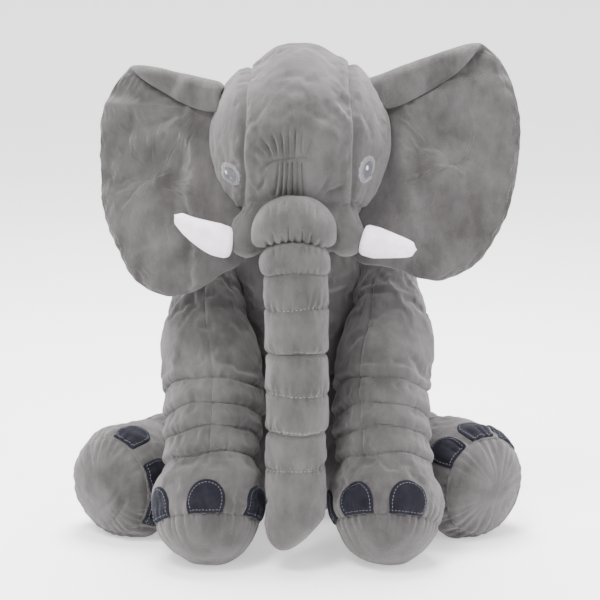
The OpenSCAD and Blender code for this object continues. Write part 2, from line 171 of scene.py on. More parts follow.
# %% Lumps, gathers and creases
def lumps(points, size, seed):
    """Smooth swelling from -1 to 1 that changes over about `size` millimetres."""
    table = np.random.default_rng(seed).uniform(-1, 1, 4096)
    q = np.asarray(points, float) / size + 500
    cell = np.floor(q).astype(np.int64)
    f = q - cell
    f = f * f * (3 - 2 * f)
    total = 0
    for corner in range(8):
        step = np.array([(corner >> k) & 1 for k in range(3)])
        c = cell + step
        pick = (c[..., 0] * 73856093 ^ c[..., 1] * 19349663 ^ c[..., 2] * 83492791) & 4095
        total = total + np.prod(np.where(step == 1, f, 1 - f), axis=-1) * table[pick]
    return total * 1.6


def uneven(points, seed, *layers):
    """Lumps of several sizes at once. A layer is its height and its size, and takes the next seed."""
    return sum(tall * lumps(points, size, seed + k) for k, (tall, size) in enumerate(layers))


def turn_between(a, b):
    """The smallest turn from angle b to angle a."""
    return (a - b + math.pi) % (2 * math.pi) - math.pi


def gathers(angle, away, count, reach, seed, even=0.35):
    """Valleys around a seam, from -1 to 0. `away` is the distance from the seam."""
    rng = np.random.default_rng(seed)
    spread = 2 * math.pi / count
    depth = np.zeros(np.broadcast(angle, away).shape)
    for k in range(count):
        place = spread * (k + rng.uniform(-even, even))
        wide = spread * rng.uniform(0.16, 0.34)
        long = reach * rng.uniform(0.4, 1.25)
        drift = spread * rng.normal(0, 0.35) * away / reach
        valley = bell(turn_between(angle, place + drift), wide * (1 + 0.8 * away / reach))
        depth = np.minimum(depth, -rng.uniform(0.45, 1) * valley * bell(away, long))
    return depth


def crease(flat, path, width, fade=12):
    """A valley, from -1 to 0, along a line drawn on flat coordinates. It fades out at both ends."""
    line = smooth_line(path, 24)
    run = run_along(line)
    nearest = np.full(flat.shape[:-1], 1e9)
    where = np.zeros(flat.shape[:-1])
    for i in range(len(line) - 1):
        step = line[i + 1] - line[i]
        t = np.clip(((flat - line[i]) @ step) / (step @ step), 0, 1)
        gap = np.linalg.norm(flat - (line[i] + t[..., None] * step), axis=-1)
        better = gap < nearest
        nearest = np.where(better, gap, nearest)
        where = np.where(better, run[i] + t * (run[i + 1] - run[i]), where)
    ends = smooth_step(where, -fade * 0.3, fade) * smooth_step(run[-1] - where, -fade * 0.3, fade)
    return -bell(nearest, width) * ends


def settle(grid, soft=2.5):
    """Cloth that would go through the floor lies on it instead."""
    out = grid.copy()
    low = out[..., 2] < soft
    out[..., 2] = np.where(low, soft * np.exp((out[..., 2] - soft) / soft), out[..., 2])
    return out


# %% [markdown]
# ## The crushed plush
# Short velvety pile catches light one way and swallows it the other, so brushed patches look
# lighter and darker though the dye is the same. The patches, the streaks that a hand leaves and
# the fine pile are one shader group, because the grey plush, the white fleece and the navy felt
# all share it with their own sizes. The sheen stays on the shader itself.

# %% Shader groups for pile and thread
def socket(group, name, kind, way, value=None):
    """A named input or output of a node group."""
    s = group.interface.new_socket(name, in_out=way, socket_type=kind)
    if value is not None:
        s.default_value = value
    return s


def make_pile_group():
    """Brushed patches, streaks and fine pile, as a colour, a height and a roughness."""
    g = bpy.data.node_groups.new("brushed pile", "ShaderNodeTree")
    for name, kind, value in (
        ("Deep colour", "NodeSocketColor", (0.1, 0.1, 0.1, 1)),
        ("Light colour", "NodeSocketColor", (0.3, 0.3, 0.3, 1)),
        ("Patch size", "NodeSocketFloat", 0.04),
        ("Pile length", "NodeSocketFloat", 0.0016),
        ("Brushing", "NodeSocketFloat", 0.5),
    ):
        socket(g, name, kind, "INPUT", value)
    socket(g, "Colour", "NodeSocketColor", "OUTPUT")
    socket(g, "Height", "NodeSocketFloat", "OUTPUT")
    socket(g, "Roughness", "NodeSocketFloat", "OUTPUT")
    n, link = g.nodes, g.links.new
    gin, gout = n.new("NodeGroupInput"), n.new("NodeGroupOutput")
    place = n.new("ShaderNodeTexCoord")

    def noise(scale_from, factor, detail, rough, stretch=None):
        """Noise whose scale is `factor` over one of the group's own sizes."""
        div = n.new("ShaderNodeMath")
        div.operation = "DIVIDE"
        div.inputs[0].default_value = factor
        link(gin.outputs[scale_from], div.inputs[1])
        t = n.new("ShaderNodeTexNoise")
        t.inputs["Detail"].default_value = detail
        t.inputs["Roughness"].default_value = rough
        link(div.outputs[0], t.inputs["Scale"])
        if stretch:
            m = n.new("ShaderNodeMapping")
            m.inputs["Scale"].default_value = stretch
            link(place.outputs["Object"], m.inputs["Vector"])
            link(m.outputs[0], t.inputs["Vector"])
        else:
            link(place.outputs["Object"], t.inputs["Vector"])
        return t.outputs["Fac"]

    patches = noise("Patch size", 1.0, 3.0, 0.55)
    streaks = noise("Patch size", 3.2, 4.0, 0.65, (1.0, 1.0, 0.45))
    pile = noise("Pile length", 1.0, 3.0, 0.7)

    def plus_share(a, share, b=None):
        """A share of a, added to b."""
        m = n.new("ShaderNodeMath")
        m.operation = "MULTIPLY_ADD"
        link(a, m.inputs[0])
        m.inputs[1].default_value = share
        m.inputs[2].default_value = 0
        if b is not None:
            link(b, m.inputs[2])
        return m.outputs[0]

    both = plus_share(patches, 1.1, plus_share(streaks, 0.9))
    spread = n.new("ShaderNodeMapRange")
    spread.inputs["From Min"].default_value = 0.78
    spread.inputs["From Max"].default_value = 1.22
    link(both, spread.inputs["Value"])
    soft = n.new("ShaderNodeMath")
    soft.operation = "MULTIPLY"
    link(spread.outputs[0], soft.inputs[0])
    link(gin.outputs["Brushing"], soft.inputs[1])
    fuzz = plus_share(pile, 0.55, soft.outputs[0])
    blend = n.new("ShaderNodeMix")
    blend.data_type = "RGBA"
    link(fuzz, blend.inputs["Factor"])
    link(gin.outputs["Deep colour"], blend.inputs[6])
    link(gin.outputs["Light colour"], blend.inputs[7])
    link(blend.outputs[2], gout.inputs["Colour"])
    link(plus_share(pile, 1.4, soft.outputs[0]), gout.inputs["Height"])
    rough = n.new("ShaderNodeMapRange")
    rough.inputs["To Min"].default_value = 0.98
    rough.inputs["To Max"].default_value = 0.82
    link(both, rough.inputs["Value"])
    link(rough.outputs[0], gout.inputs["Roughness"])
    return g


pile_group = make_pile_group()


def new_material(name):
    """A new material, its shader, and the two tools that build its tree."""
    m = bpy.data.materials.new(name)
    m.use_nodes = True
    return m, m.node_tree.nodes["Principled BSDF"], m.node_tree.nodes.new, m.node_tree.links.new


def add_bump(new, link, shader, height, strength, distance):
    """Raise the surface by a height, in the light only."""
    b = new("ShaderNodeBump")
    b.inputs["Strength"].default_value = strength
    b.inputs["Distance"].default_value = distance
    link(height, b.inputs["Height"])
    link(b.outputs[0], shader.inputs["Normal"])


def pile_material(name, deep, light, patch, pile, brushing, bump, sheen, tint):
    """A pile cloth: its two colours, its sizes in metres, and how strongly it is brushed and lit."""
    m, shader, new, link = new_material(name)
    g = new("ShaderNodeGroup")
    g.node_tree = pile_group
    g.inputs["Deep colour"].default_value = (*deep, 1)
    g.inputs["Light colour"].default_value = (*light, 1)
    g.inputs["Patch size"].default_value = patch
    g.inputs["Pile length"].default_value = pile
    g.inputs["Brushing"].default_value = brushing
    add_bump(new, link, shader, g.outputs["Height"], bump, 0.0012)
    link(g.outputs["Colour"], shader.inputs["Base Color"])
    link(g.outputs["Roughness"], shader.inputs["Roughness"])
    shader.inputs["Specular IOR Level"].default_value = 0.12
    shader.inputs["Sheen Weight"].default_value = sheen
    shader.inputs["Sheen Roughness"].default_value = 0.45
    shader.inputs["Sheen Tint"].default_value = (*tint, 1)
    return m


plush = pile_material(
    "grey plush", (0.026, 0.0237, 0.024), (0.096, 0.0895, 0.091), patch=0.06, pile=0.0013,
    brushing=0.6, bump=0.8, sheen=0.33, tint=(0.93, 0.9, 0.9),
)
fleece = pile_material(
    "white fleece", (0.64, 0.57, 0.63), (0.88, 0.8, 0.87), patch=0.03, pile=0.0018,
    brushing=0.6, bump=0.45, sheen=0.3, tint=(1, 0.95, 0.98),
)
felt = pile_material(
    "navy felt", (0.003, 0.003, 0.0055), (0.01, 0.0098, 0.0155), patch=0.02, pile=0.0016,
    brushing=0.6, bump=0.6, sheen=0.12, tint=(0.5, 0.52, 0.65),
)


def plain_material(name, colour, rough, metallic=0.0, sheen=0.0, grain=0.0008, bump=0.2):
    """Thread, tape, resin and metal: one colour that a fine grain breaks up."""
    m, shader, new, link = new_material(name)
    place = new("ShaderNodeTexCoord")
    t = new("ShaderNodeTexNoise")
    t.inputs["Scale"].default_value = 1 / grain
    t.inputs["Detail"].default_value = 3
    link(place.outputs["Object"], t.inputs["Vector"])
    ramp = new("ShaderNodeMix")
    ramp.data_type = "RGBA"
    ramp.inputs[6].default_value = (*[c * 0.72 for c in colour], 1)
    ramp.inputs[7].default_value = (*[min(1, c * 1.25) for c in colour], 1)
    link(t.outputs["Fac"], ramp.inputs["Factor"])
    link(ramp.outputs[2], shader.inputs["Base Color"])
    add_bump(new, link, shader, t.outputs["Fac"], bump, grain * 0.5)
    shader.inputs["Roughness"].default_value = rough
    shader.inputs["Metallic"].default_value = metallic
    shader.inputs["Sheen Weight"].default_value = sheen
    return m


pale_thread = plain_material("pale sewing thread", (0.19, 0.185, 0.175), 0.6, sheen=0.2)
grey_thread = plain_material("grey nail thread", (0.085, 0.085, 0.1), 0.6, sheen=0.2)
print("materials ready:", len(bpy.data.materials))


# %% [markdown]
# ## From grid to piece
# The first and last rows of a grid close to one point each, so the mesh has no holes. A small
# function joins the points, turns every face outward, and ties the piece to its body in the
# frame and to the plain solids that it stands for.

# %% Build a mesh, and hang it on the frame
def cover_mesh(name, grid):
    """A closed mesh from a grid in millimetres, with every face turned outward."""
    rows, cols = grid.shape[:2]
    verts = np.concatenate([grid[:1].mean(1), grid[1:-1].reshape(-1, 3), grid[-1:].mean(1)]) * MM
    last = len(verts) - 1
    faces = [(0, 1 + j, 1 + (j + 1) % cols) for j in range(cols)]
    faces += [(last, last - cols + (j + 1) % cols, last - cols + j) for j in range(cols)]
    for i in range(rows - 3):
        a, b = 1 + i * cols, 1 + (i + 1) * cols
        faces += [(a + j, b + j, b + (j + 1) % cols, a + (j + 1) % cols) for j in range(cols)]
    mesh = bpy.data.meshes.new(name)
    mesh.from_pydata(verts.tolist(), [], faces)
    bm = bmesh.new()
    bm.from_mesh(mesh)
    bmesh.ops.recalc_face_normals(bm, faces=bm.faces)
    bm.to_mesh(mesh)
    bm.free()
    return mesh, verts


def skin(name, grid, material, body, stands_for=()):
    """One finished cover: the grid as a mesh, on its body, in place of the solids it stands for."""
    mesh, _ = cover_mesh(name, grid)
    mesh.shade_smooth()
    mesh.materials.append(material)
    piece = placed(name, mesh)
    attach(piece, body)
    if stands_for:
        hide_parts(*stands_for)
    print(f"{name}: {len(mesh.polygons)} faces")


# %% [markdown]
# ## Filling a cover by simulation
# Arithmetic puts creases where a maker put them, but cloth over fibre also buckles on its own.
# So each big cover is blown up a little as cloth: a coarse copy of its grid is held at the seams,
# grows by a few hundredths, and is pressed from inside for twenty steps. The way it moved, capped,
# is then spread over the fine grid. The fine seams stay, because only the movement is taken over.
# A grid that is blown up has a multiple of four columns, and one row more than a multiple of four.

# %% Blow a cover up as cloth
COARSER = 4
STEPS = 20


def set_cloth(piece, grow, press):
    """A light, loose cloth that grows and is pressed from inside, with no weight of its own."""
    mod = piece.modifiers.new("cloth", "CLOTH")
    rules = mod.settings
    rules.quality = 5
    rules.mass = 0.15
    rules.tension_stiffness = rules.compression_stiffness = 12
    rules.shear_stiffness = 4
    rules.bending_stiffness = 0.02
    rules.air_damping = 2
    rules.shrink_min = -grow
    rules.use_pressure = True
    rules.uniform_pressure_force = press
    rules.vertex_group_mass = "seams"
    rules.effector_weights.gravity = 0
    mod.collision_settings.use_collision = False
    mod.point_cache.frame_start, mod.point_cache.frame_end = 1, STEPS


def plump(name, grid, held, grow, most, press=2.0):
    """The grid after its filling: it grows by `grow`, and no point moves by more than `most`."""
    clock = time.time()
    coarse, hold = grid[::COARSER, ::COARSER], held[::COARSER, ::COARSER]
    rows, cols = coarse.shape[:2]
    mesh, verts = cover_mesh(name + "_cloth", coarse)
    cloth = placed(name + "_cloth", mesh)
    group = cloth.vertex_groups.new(name="seams")
    for i, weight in enumerate(np.concatenate([[1.0], hold[1:-1].ravel(), [1.0]])):
        group.add([i], float(np.clip(weight, 0, 1)), "REPLACE")
    set_cloth(cloth, grow, press)
    for step in range(1, STEPS + 1):
        bpy.context.scene.frame_set(step)
    after = cloth.evaluated_get(bpy.context.evaluated_depsgraph_get()).to_mesh()
    co = np.zeros(len(verts) * 3)
    after.vertices.foreach_get("co", co)
    bpy.data.objects.remove(cloth)
    bpy.context.scene.frame_set(1)
    moved = (co.reshape(-1, 3) - verts) / MM
    far = np.linalg.norm(moved, axis=-1, keepdims=True)
    moved = moved * np.minimum(1, most / np.maximum(far, 1e-6))
    poles = np.repeat(moved[:1], cols, 0), np.repeat(moved[-1:], cols, 0)
    field = np.concatenate([poles[0], moved[1:-1], poles[1]]).reshape(rows, cols, 3)
    took = time.time() - clock
    print(f"{name}: cloth moved {far.mean():.1f} mm on average, {far.max():.1f} at most, in {took:.1f} s")
    return grid + finer(field, COARSER)


# %% [markdown]
# ## Stitches
# Every dashed line on the toy is the same thing: short floats of thread, one pitch apart, along
# a seam. Placing them one by one is hopeless, so Geometry Nodes walk each line, put a small
# rounded stitch at every pitch and lay it along the line. The result becomes a plain mesh.

# %% The stitch tree
def make_stitch_tree():
    """Walk each line, and lay a small rounded stitch along it at every pitch."""
    tree = bpy.data.node_groups.new("stitches along lines", "GeometryNodeTree")
    socket(tree, "Geometry", "NodeSocketGeometry", "INPUT")
    socket(tree, "Pitch", "NodeSocketFloat", "INPUT", 0.006)
    socket(tree, "Stitch length", "NodeSocketFloat", "INPUT", 0.004)
    socket(tree, "Thread thickness", "NodeSocketFloat", "INPUT", 0.001)
    socket(tree, "Material", "NodeSocketMaterial", "INPUT")
    socket(tree, "Geometry", "NodeSocketGeometry", "OUTPUT")
    n, link = tree.nodes, tree.links.new
    gin, gout = n.new("NodeGroupInput"), n.new("NodeGroupOutput")
    curve = n.new("GeometryNodeMeshToCurve")
    walk = n.new("GeometryNodeResampleCurve")
    walk.mode = "LENGTH"
    tangent = n.new("GeometryNodeInputTangent")
    align = n.new("FunctionNodeAlignEulerToVector")
    align.axis = "Z"
    ball = n.new("GeometryNodeMeshUVSphere")
    ball.inputs["Segments"].default_value = 6
    ball.inputs["Rings"].default_value = 4
    ball.inputs["Radius"].default_value = 0.5
    size = n.new("ShaderNodeCombineXYZ")
    place = n.new("GeometryNodeInstanceOnPoints")
    real = n.new("GeometryNodeRealizeInstances")
    paint = n.new("GeometryNodeSetMaterial")
    link(gin.outputs["Geometry"], curve.inputs["Mesh"])
    link(curve.outputs["Curve"], walk.inputs["Curve"])
    link(gin.outputs["Pitch"], walk.inputs["Length"])
    link(tangent.outputs[0], align.inputs["Vector"])
    link(gin.outputs["Thread thickness"], size.inputs[0])
    link(gin.outputs["Thread thickness"], size.inputs[1])
    link(gin.outputs["Stitch length"], size.inputs[2])
    link(walk.outputs["Curve"], place.inputs["Points"])
    link(ball.outputs["Mesh"], place.inputs["Instance"])
    link(align.outputs[0], place.inputs["Rotation"])
    link(size.outputs[0], place.inputs["Scale"])
    link(place.outputs[0], real.inputs[0])
    link(real.outputs[0], paint.inputs["Geometry"])
    link(gin.outputs["Material"], paint.inputs["Material"])
    link(paint.outputs[0], gout.inputs[0])
    return tree


stitch_tree = make_stitch_tree()


def stitches(name, lines, body, material, pitch, length, thick):
    """One object of stitches along several lines of points, in millimetres."""
    verts, edges = [], []
    for points, closed in lines:
        first = len(verts)
        verts += (np.asarray(points) * MM).tolist()
        count = len(verts) - first
        edges += [(first + i, first + i + 1) for i in range(count - 1)]
        if closed:
            edges.append((first + count - 1, first))
    path = bpy.data.meshes.new(name + "_path")
    path.from_pydata(verts, edges, [])
    walker = placed(name + "_path", path)
    mod = walker.modifiers.new("stitches", "NODES")
    mod.node_group = stitch_tree
    ids = {s.name: s.identifier for s in stitch_tree.interface.items_tree if s.in_out == "INPUT"}
    mod[ids["Pitch"]] = pitch * MM
    mod[ids["Stitch length"]] = length * MM
    mod[ids["Thread thickness"]] = thick * MM
    mod[ids["Material"]] = material
    bpy.context.view_layer.update()
    ready = walker.evaluated_get(bpy.context.evaluated_depsgraph_get())
    mesh = bpy.data.meshes.new_from_object(ready)
    mesh.name = name
    mesh.shade_smooth()
    if not mesh.materials:
        mesh.materials.append(material)
    bpy.data.objects.remove(walker)
    piece = placed(name, mesh)
    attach(piece, body)
    print(f"{name}: {len(mesh.polygons)} faces on {len(lines)} lines")


# %% [markdown]
# ## Turned covers
# Legs, trunk and body are all turned about an axis of their own. A frame of three directions
# turns heights and angles into places; a profile gives the radius at each height.

# %% Axes and profiles
class Axis:
    """A piece's own axis: `up` along it, `face` towards angle zero."""

    def __init__(self, foot, up, face):
        self.foot, self.up = np.asarray(foot, float), unit(up)
        face = np.asarray(face, float)
        self.face = unit(face - (face @ self.up) * self.up)
        self.side = np.cross(self.up, self.face)

    def place(self, angle, height, radius):
        return (
            self.foot
            + height[..., None] * self.up
            + (radius * np.cos(angle))[..., None] * self.face
            + (radius * np.sin(angle))[..., None] * self.side
        )


def turned(axis, outline, rows, cols):
    """A closed grid turned from an outline of [radius, height], and each point's angle, height, radius."""
    line = smooth_line(outline, rows)
    angle = np.linspace(0, 2 * math.pi, cols, endpoint=False)[None, :] + np.zeros((rows, 1))
    radius = np.maximum(line[:, :1], 0) + np.zeros((1, cols))
    height = line[:, 1:] + np.zeros((1, cols))
    radius[0] = radius[-1] = 0
    return axis.place(angle, height, radius), angle, height, radius


def on_skin(grid, height, at_angle, at_height, lift):
    """Places on a turned skin, found by angle and height on its own axis, lifted off it a little."""
    cols = grid.shape[1]
    normal = outward(grid)
    places = []
    for a, h, up in np.broadcast(at_angle, at_height, lift):
        col = (a % (2 * math.pi)) / (2 * math.pi) * cols
        j, f = int(col) % cols, col - int(col)
        k = (j + 1) % cols
        line = height[:, j]
        i = int(np.clip(np.searchsorted(line, h) - 1, 0, len(line) - 2))
        t = np.clip((h - line[i]) / max(line[i + 1] - line[i], 1e-6), 0, 1)

        def blend(field):
            low = field[i, j] * (1 - f) + field[i, k] * f
            high = field[i + 1, j] * (1 - f) + field[i + 1, k] * f
            return low * (1 - t) + high * t

        places.append(blend(grid) + unit(blend(normal)) * up)
    return np.array(places)


# %% [markdown]
# ## Front legs
# Each front leg is a long sock with a heavy foot. Rows of thread pull four rings into the ankle,
# the sole is a round patch whose gathered edge makes a ruffled line, and one long seam runs up
# the front. The ring valleys, the gathers and the lumps go straight onto the turned grid.

# %% Front legs: cover and sole
FRONT_RINGS = [74, 104, 132, 164]
FRONT_ROUND = 58  # the leg's radius, which turns an angle into millimetres on the cloth


def front_leg_axis(side):
    """The leg's axis from its sole to its shoulder, and the distance between them."""
    shoulder = joint_mm("left_front_leg_swing" if side < 0 else "right_front_leg_swing")
    sole = np.array([side * 105.5, -151, 46.2])
    return Axis(sole, shoulder - sole, (0, -1, 0.3)), float(np.linalg.norm(shoulder - sole))


def front_leg(side):
    """The cover above the sole: its axis, its grid, and the height of each point."""
    word = "left" if side < 0 else "right"
    axis, length = front_leg_axis(side)
    seed = 10 if side < 0 else 40
    seam_at = 0.0 if side < 0 else math.radians(-28)
    outline = [
        [0, 5], [30, 3], [56, 1], [60.5, 0.5], [63.5, 7], [65.2, 18], [65.6, 30], [64, 46],
        [60, 60], [57.5, 72], [58, 88], [57.5, 104], [58.5, 118],
        [58, 132], [59, 148], [58, 164], [58.5, 184], [57.5, 210],
        [52, 245], [45, 280], [38.5, length - 2], [33, length + 20], [20, length + 33], [0, length + 38],
    ]
    grid, angle, height, radius = turned(axis, outline, 241, 280)
    held = bell(height, 5) + smooth_step(-radius, -30, -15) + smooth_step(height, 290, 320)
    for k, ring in enumerate(FRONT_RINGS):
        level = ring + 2.2 * np.sin(angle * 2 + k) + 1.2 * np.sin(angle * 5 + 2 * k)
        gap = height - level
        held = held + bell(gap, 3.5)
        radius = radius - 3.8 * bell(gap, 1.9) + 1.9 * bell(gap - 8, 6) - 0.9 * bell(gap + 7, 6)
        radius = radius + 1.1 * gathers(angle, np.abs(gap), 38, 9, seed + k) * smooth_step(gap, -12, 2)
    away = np.maximum(height, 0)
    rim = smooth_step(radius, 20, 50)
    radius = radius + 2.6 * gathers(angle, away, 40, 26, seed + 7) * rim
    radius = radius - 1.6 * bell(away, 2.2) * smooth_step(radius, 20, 50)
    from_seam = turn_between(angle, seam_at) * FRONT_ROUND
    below_shoulder = smooth_step(-height, -300, -280)
    radius = radius - 2.2 * bell(from_seam, 1.8) * smooth_step(height, 52, 80) * below_shoulder
    radius = radius + 1.6 * bell(np.abs(from_seam) - 8, 5) * smooth_step(height, 60, 90) * below_shoulder
    grid = axis.place(angle, height, np.maximum(radius, 0))
    swell = uneven(grid, seed, (2.4, 62), (1.1, 24), (0.35, 9))
    grid = swelled(grid, swell * smooth_step(radius, 8, 40) * smooth_step(height, -1, 22))
    knock_knee = 11 * bell(height - 150, 90) + 5 * smooth_step(height, 240, 300)
    grid[..., 0] -= side * knock_knee
    held = held + 0.8 * bell(from_seam, 4) * smooth_step(height, 60, 90)
    grid = plump(word + "_front_leg", grid, held, grow=0.02, most=4)
    return axis, settle(grid), height


def front_sole(side):
    """The domed round patch under the foot, with a ruffled rim."""
    axis, _ = front_leg_axis(side)
    seed = 90 if side < 0 else 120
    outline = [
        [0, -46.5], [22, -43], [40, -33], [52, -20], [58.5, -9], [60.8, -1.5], [59.5, 1.5],
        [50, 3], [25, 4], [0, 5],
    ]
    grid, angle, height, radius = turned(axis, outline, 120, 288)
    away = np.maximum(-height, 0)
    rim = smooth_step(radius, 15, 45)
    radius = radius + 2.8 * gathers(angle, away, 40, 24, seed) * rim - 0.8 * bell(away, 2.5) * rim
    grid = axis.place(angle, height, np.maximum(radius, 0))
    swell = uneven(grid, seed + 1, (1.6, 48), (0.8, 18))
    return settle(swelled(grid, swell * smooth_step(away, 0, 14)))


def hang_leg(leg, cover, sole):
    """A leg's cover and sole, each in place of its own plain solids."""
    skin(f"{leg}_plush", cover, plush, leg, (f"{leg}_cover", f"{leg}_filling"))
    under = leg.replace("_leg", "_sole")
    skin(f"{under}_plush", sole, plush, leg, (under,))


feet = {}
for side, word in ((-1, "left"), (1, "right")):
    feet[f"{word}_front"] = front_leg(side)
    hang_leg(f"{word}_front_leg", feet[f"{word}_front"][1], front_sole(side))


# %% [markdown]
# ## Hind legs
# The hind legs are short and fat and point at the viewer, so their soles show. The round sole is
# gathered into the leg, which makes folds that run out from its rim like rays.

# %% Hind legs: cover and sole
HIND_ROUND = 64
HIND_RIM = 61.3


def hind_leg_axis(side):
    """The leg's axis from its sole to its hip, and the distance between them."""
    hip = joint_mm("left_hind_leg_spread" if side < 0 else "right_hind_leg_spread")
    sole = np.array([side * 228.0, -60, 66.5])
    return Axis(sole, hip - sole, (0, 0, 1)), float(np.linalg.norm(hip - sole))


def hind_leg(side):
    """The cover behind the sole: its axis, its grid, and the height of each point."""
    word = "left" if side < 0 else "right"
    axis, length = hind_leg_axis(side)
    seed = 210 if side < 0 else 240
    deep = 2.2 if side < 0 else 3.6
    outline = [
        [0, 5], [30, 3], [57, 1], [61.5, 0.5], [64.5, 8], [67, 18], [68, 30], [66.5, 48], [64.5, 70],
        [64, 110], [64, 150], [63, length], [52, length + 37], [30, length + 56], [0, length + 64],
    ]
    grid, angle, height, radius = turned(axis, outline, 201, 300)
    away = np.maximum(height, 0)
    rim = smooth_step(radius, 20, 50)
    radius = radius + deep * gathers(angle, away, 34, 40, seed) * rim - 1.8 * bell(away, 2.4) * rim
    from_seam = turn_between(angle, math.radians(100)) * HIND_ROUND
    radius = radius - 2 * bell(from_seam, 2) * smooth_step(height, 30, 60) * rim
    grid = axis.place(angle, height, np.maximum(radius, 0))
    swell = uneven(grid, seed + 1, (3.0, 66), (1.3, 27), (0.4, 9))
    grid = swelled(grid, swell * rim * smooth_step(height, -1, 24))
    held = bell(height, 5) + smooth_step(-radius, -30, -15) + smooth_step(height, 170, 210)
    grid = plump(word + "_hind_leg", grid, held, grow=0.03, most=5)
    return axis, settle(grid), height


def hind_sole(side):
    """The round patch that faces forward, with folds like rays and, on the left one, two dents."""
    axis, _ = hind_leg_axis(side)
    seed = 310 if side < 0 else 340
    deep, count, reach = (1.7, 30, 22) if side < 0 else (1.9, 26, 34)
    outline = [
        [0, -22.5], [20, -21], [38, -15.5], [52, -8], [59.5, -2.2], [HIND_RIM, 0], [58, 2.5], [40, 4], [0, 5],
    ]
    grid, angle, height, radius = turned(axis, outline, 130, 300)
    away = np.maximum(HIND_RIM - radius, 0)
    rays = gathers(angle, away, count, reach, seed)
    front_face = smooth_step(-height, -1.5, 1.0)
    grid = axis.place(angle, height, radius)
    swell = deep * rays - 1.2 * bell(away, 2.6) + uneven(grid, seed + 1, (1.8, 46), (0.8, 16))
    if side < 0:
        flat = np.stack([radius * np.cos(angle), radius * np.sin(angle)], -1)
        swell = swell + 3.2 * crease(flat, [[-46, 4], [-30, 22], [-6, 40]], 3.5, 18)
        swell = swell + 1.6 * crease(flat, [[-30, -6], [-12, 18], [4, 30]], 3, 14)
    return settle(swelled(grid, swell * front_face * smooth_step(radius, 4, 24)))


for side, word in ((-1, "left"), (1, "right")):
    feet[f"{word}_hind"] = hind_leg(side)
    hang_leg(f"{word}_hind_leg", feet[f"{word}_hind"][1], hind_sole(side))


# %% [markdown]
# ## Toenails
# The nails are arches of navy felt, sewn flat onto the foot along a line a few millimetres
# inside the edge, with their straight end in the sole's seam. Each one is laid on the finished
# plush, so it takes over the foot's curve and its folds.

# %% Nails and their stitching
NAIL_TALL = 39
NAIL_ROUND = 66  # the foot's radius under the nails
NAIL_SEAM = 0.83  # how far out the stitches run, from the nail's middle to its edge


def arch_outline(width, tall, count):
    """A nail seen from the front: straight foot, straight sides, round top."""
    half = width / 2
    turns = np.linspace(math.pi, 0, 13)
    pts = [[-half * 0.96, 1.5], [-half, tall * 0.3]]
    pts += [[half * math.cos(t), tall - half + half * math.sin(t)] for t in turns]
    pts += [[half, tall * 0.3], [half * 0.96, 1.5], [0, 1.2]]
    return evenly(np.array(pts + pts[:1]), count, closed=True)


def toenail(foot, at_degrees, width):
    """A nail's grid and the line of its stitches, at an angle round the foot's axis."""
    _, grid, height = foot
    edge = arch_outline(width, NAIL_TALL, 72)
    centre = np.array([0, NAIL_TALL * 0.48])

    def lay(share, lift):
        """A smaller copy of the nail's edge, laid on the foot."""
        flat = centre + (edge - centre) * share
        around = math.radians(at_degrees) + flat[:, 0] / NAIL_ROUND
        return on_skin(grid, height, around, flat[:, 1], np.full(len(flat), lift))

    shares = np.concatenate([np.linspace(0, 0.86, 9), [0.93, 0.975, 1.0, 1.0], [0.9, 0.5, 0]])
    lifts = np.concatenate([[1.9] * 9, [1.8, 1.45, 0.7, -0.6], [-1.2, -1.2, -1.2]])
    return np.array([lay(share, lift) for share, lift in zip(shares, lifts)]), lay(NAIL_SEAM, 2.0)


for word, turns, width in (
    ("left_front", (-61, 0, 66), 46),
    ("right_front", (-92, -36, 20), 46),
    ("left_hind", (19, 72, 114), 39),
    ("right_hind", (-44, -2, 38), 39),
):
    lines = []
    for k, turn in enumerate(turns):
        nail, line = toenail(feet[word], turn, width)
        first = (word + "_toenails",) if k == 0 else ()
        skin(f"{word}_nail_{k + 1}", nail, felt, word + "_leg", first)
        lines.append((line, True))
    stitches(f"{word}_nail_stitches", lines, word + "_leg", grey_thread, 4.2, 2.8, 0.8)
clock_print("feet done")


# %% [markdown]
# ## Trunk
# One long tube, sewn round at its rings. It bends at two of them, so it is three covers here,
# each with a ball end inside the one above, as in a ball joint. Rings of pale thread pull the
# cloth in, and the cloth above each ring gathers into short pleats.

# %% Trunk covers
TRUNK_TOP = np.array([-1.0, -149, 350])
TRUNK_RINGS = [43, 95, 142, 186, 228]
trunk_roots = [joint_mm(n) for n in ("trunk_root_bend", "trunk_middle_bend", "trunk_tip_bend")]
trunk_axis = Axis(TRUNK_TOP, trunk_roots[2] - trunk_roots[0], (0, -1, 0))
ball_at = [float((p - TRUNK_TOP) @ trunk_axis.up) for p in trunk_roots]
print("trunk joints down the trunk at", [round(b, 1) for b in ball_at])


def ring_level(ring, i, angle):
    """A sewn ring is never quite level: its place down the trunk at each angle."""
    return ring + 1.6 * np.sin(angle + i * 1.7) + 0.8 * np.sin(3 * angle + i)


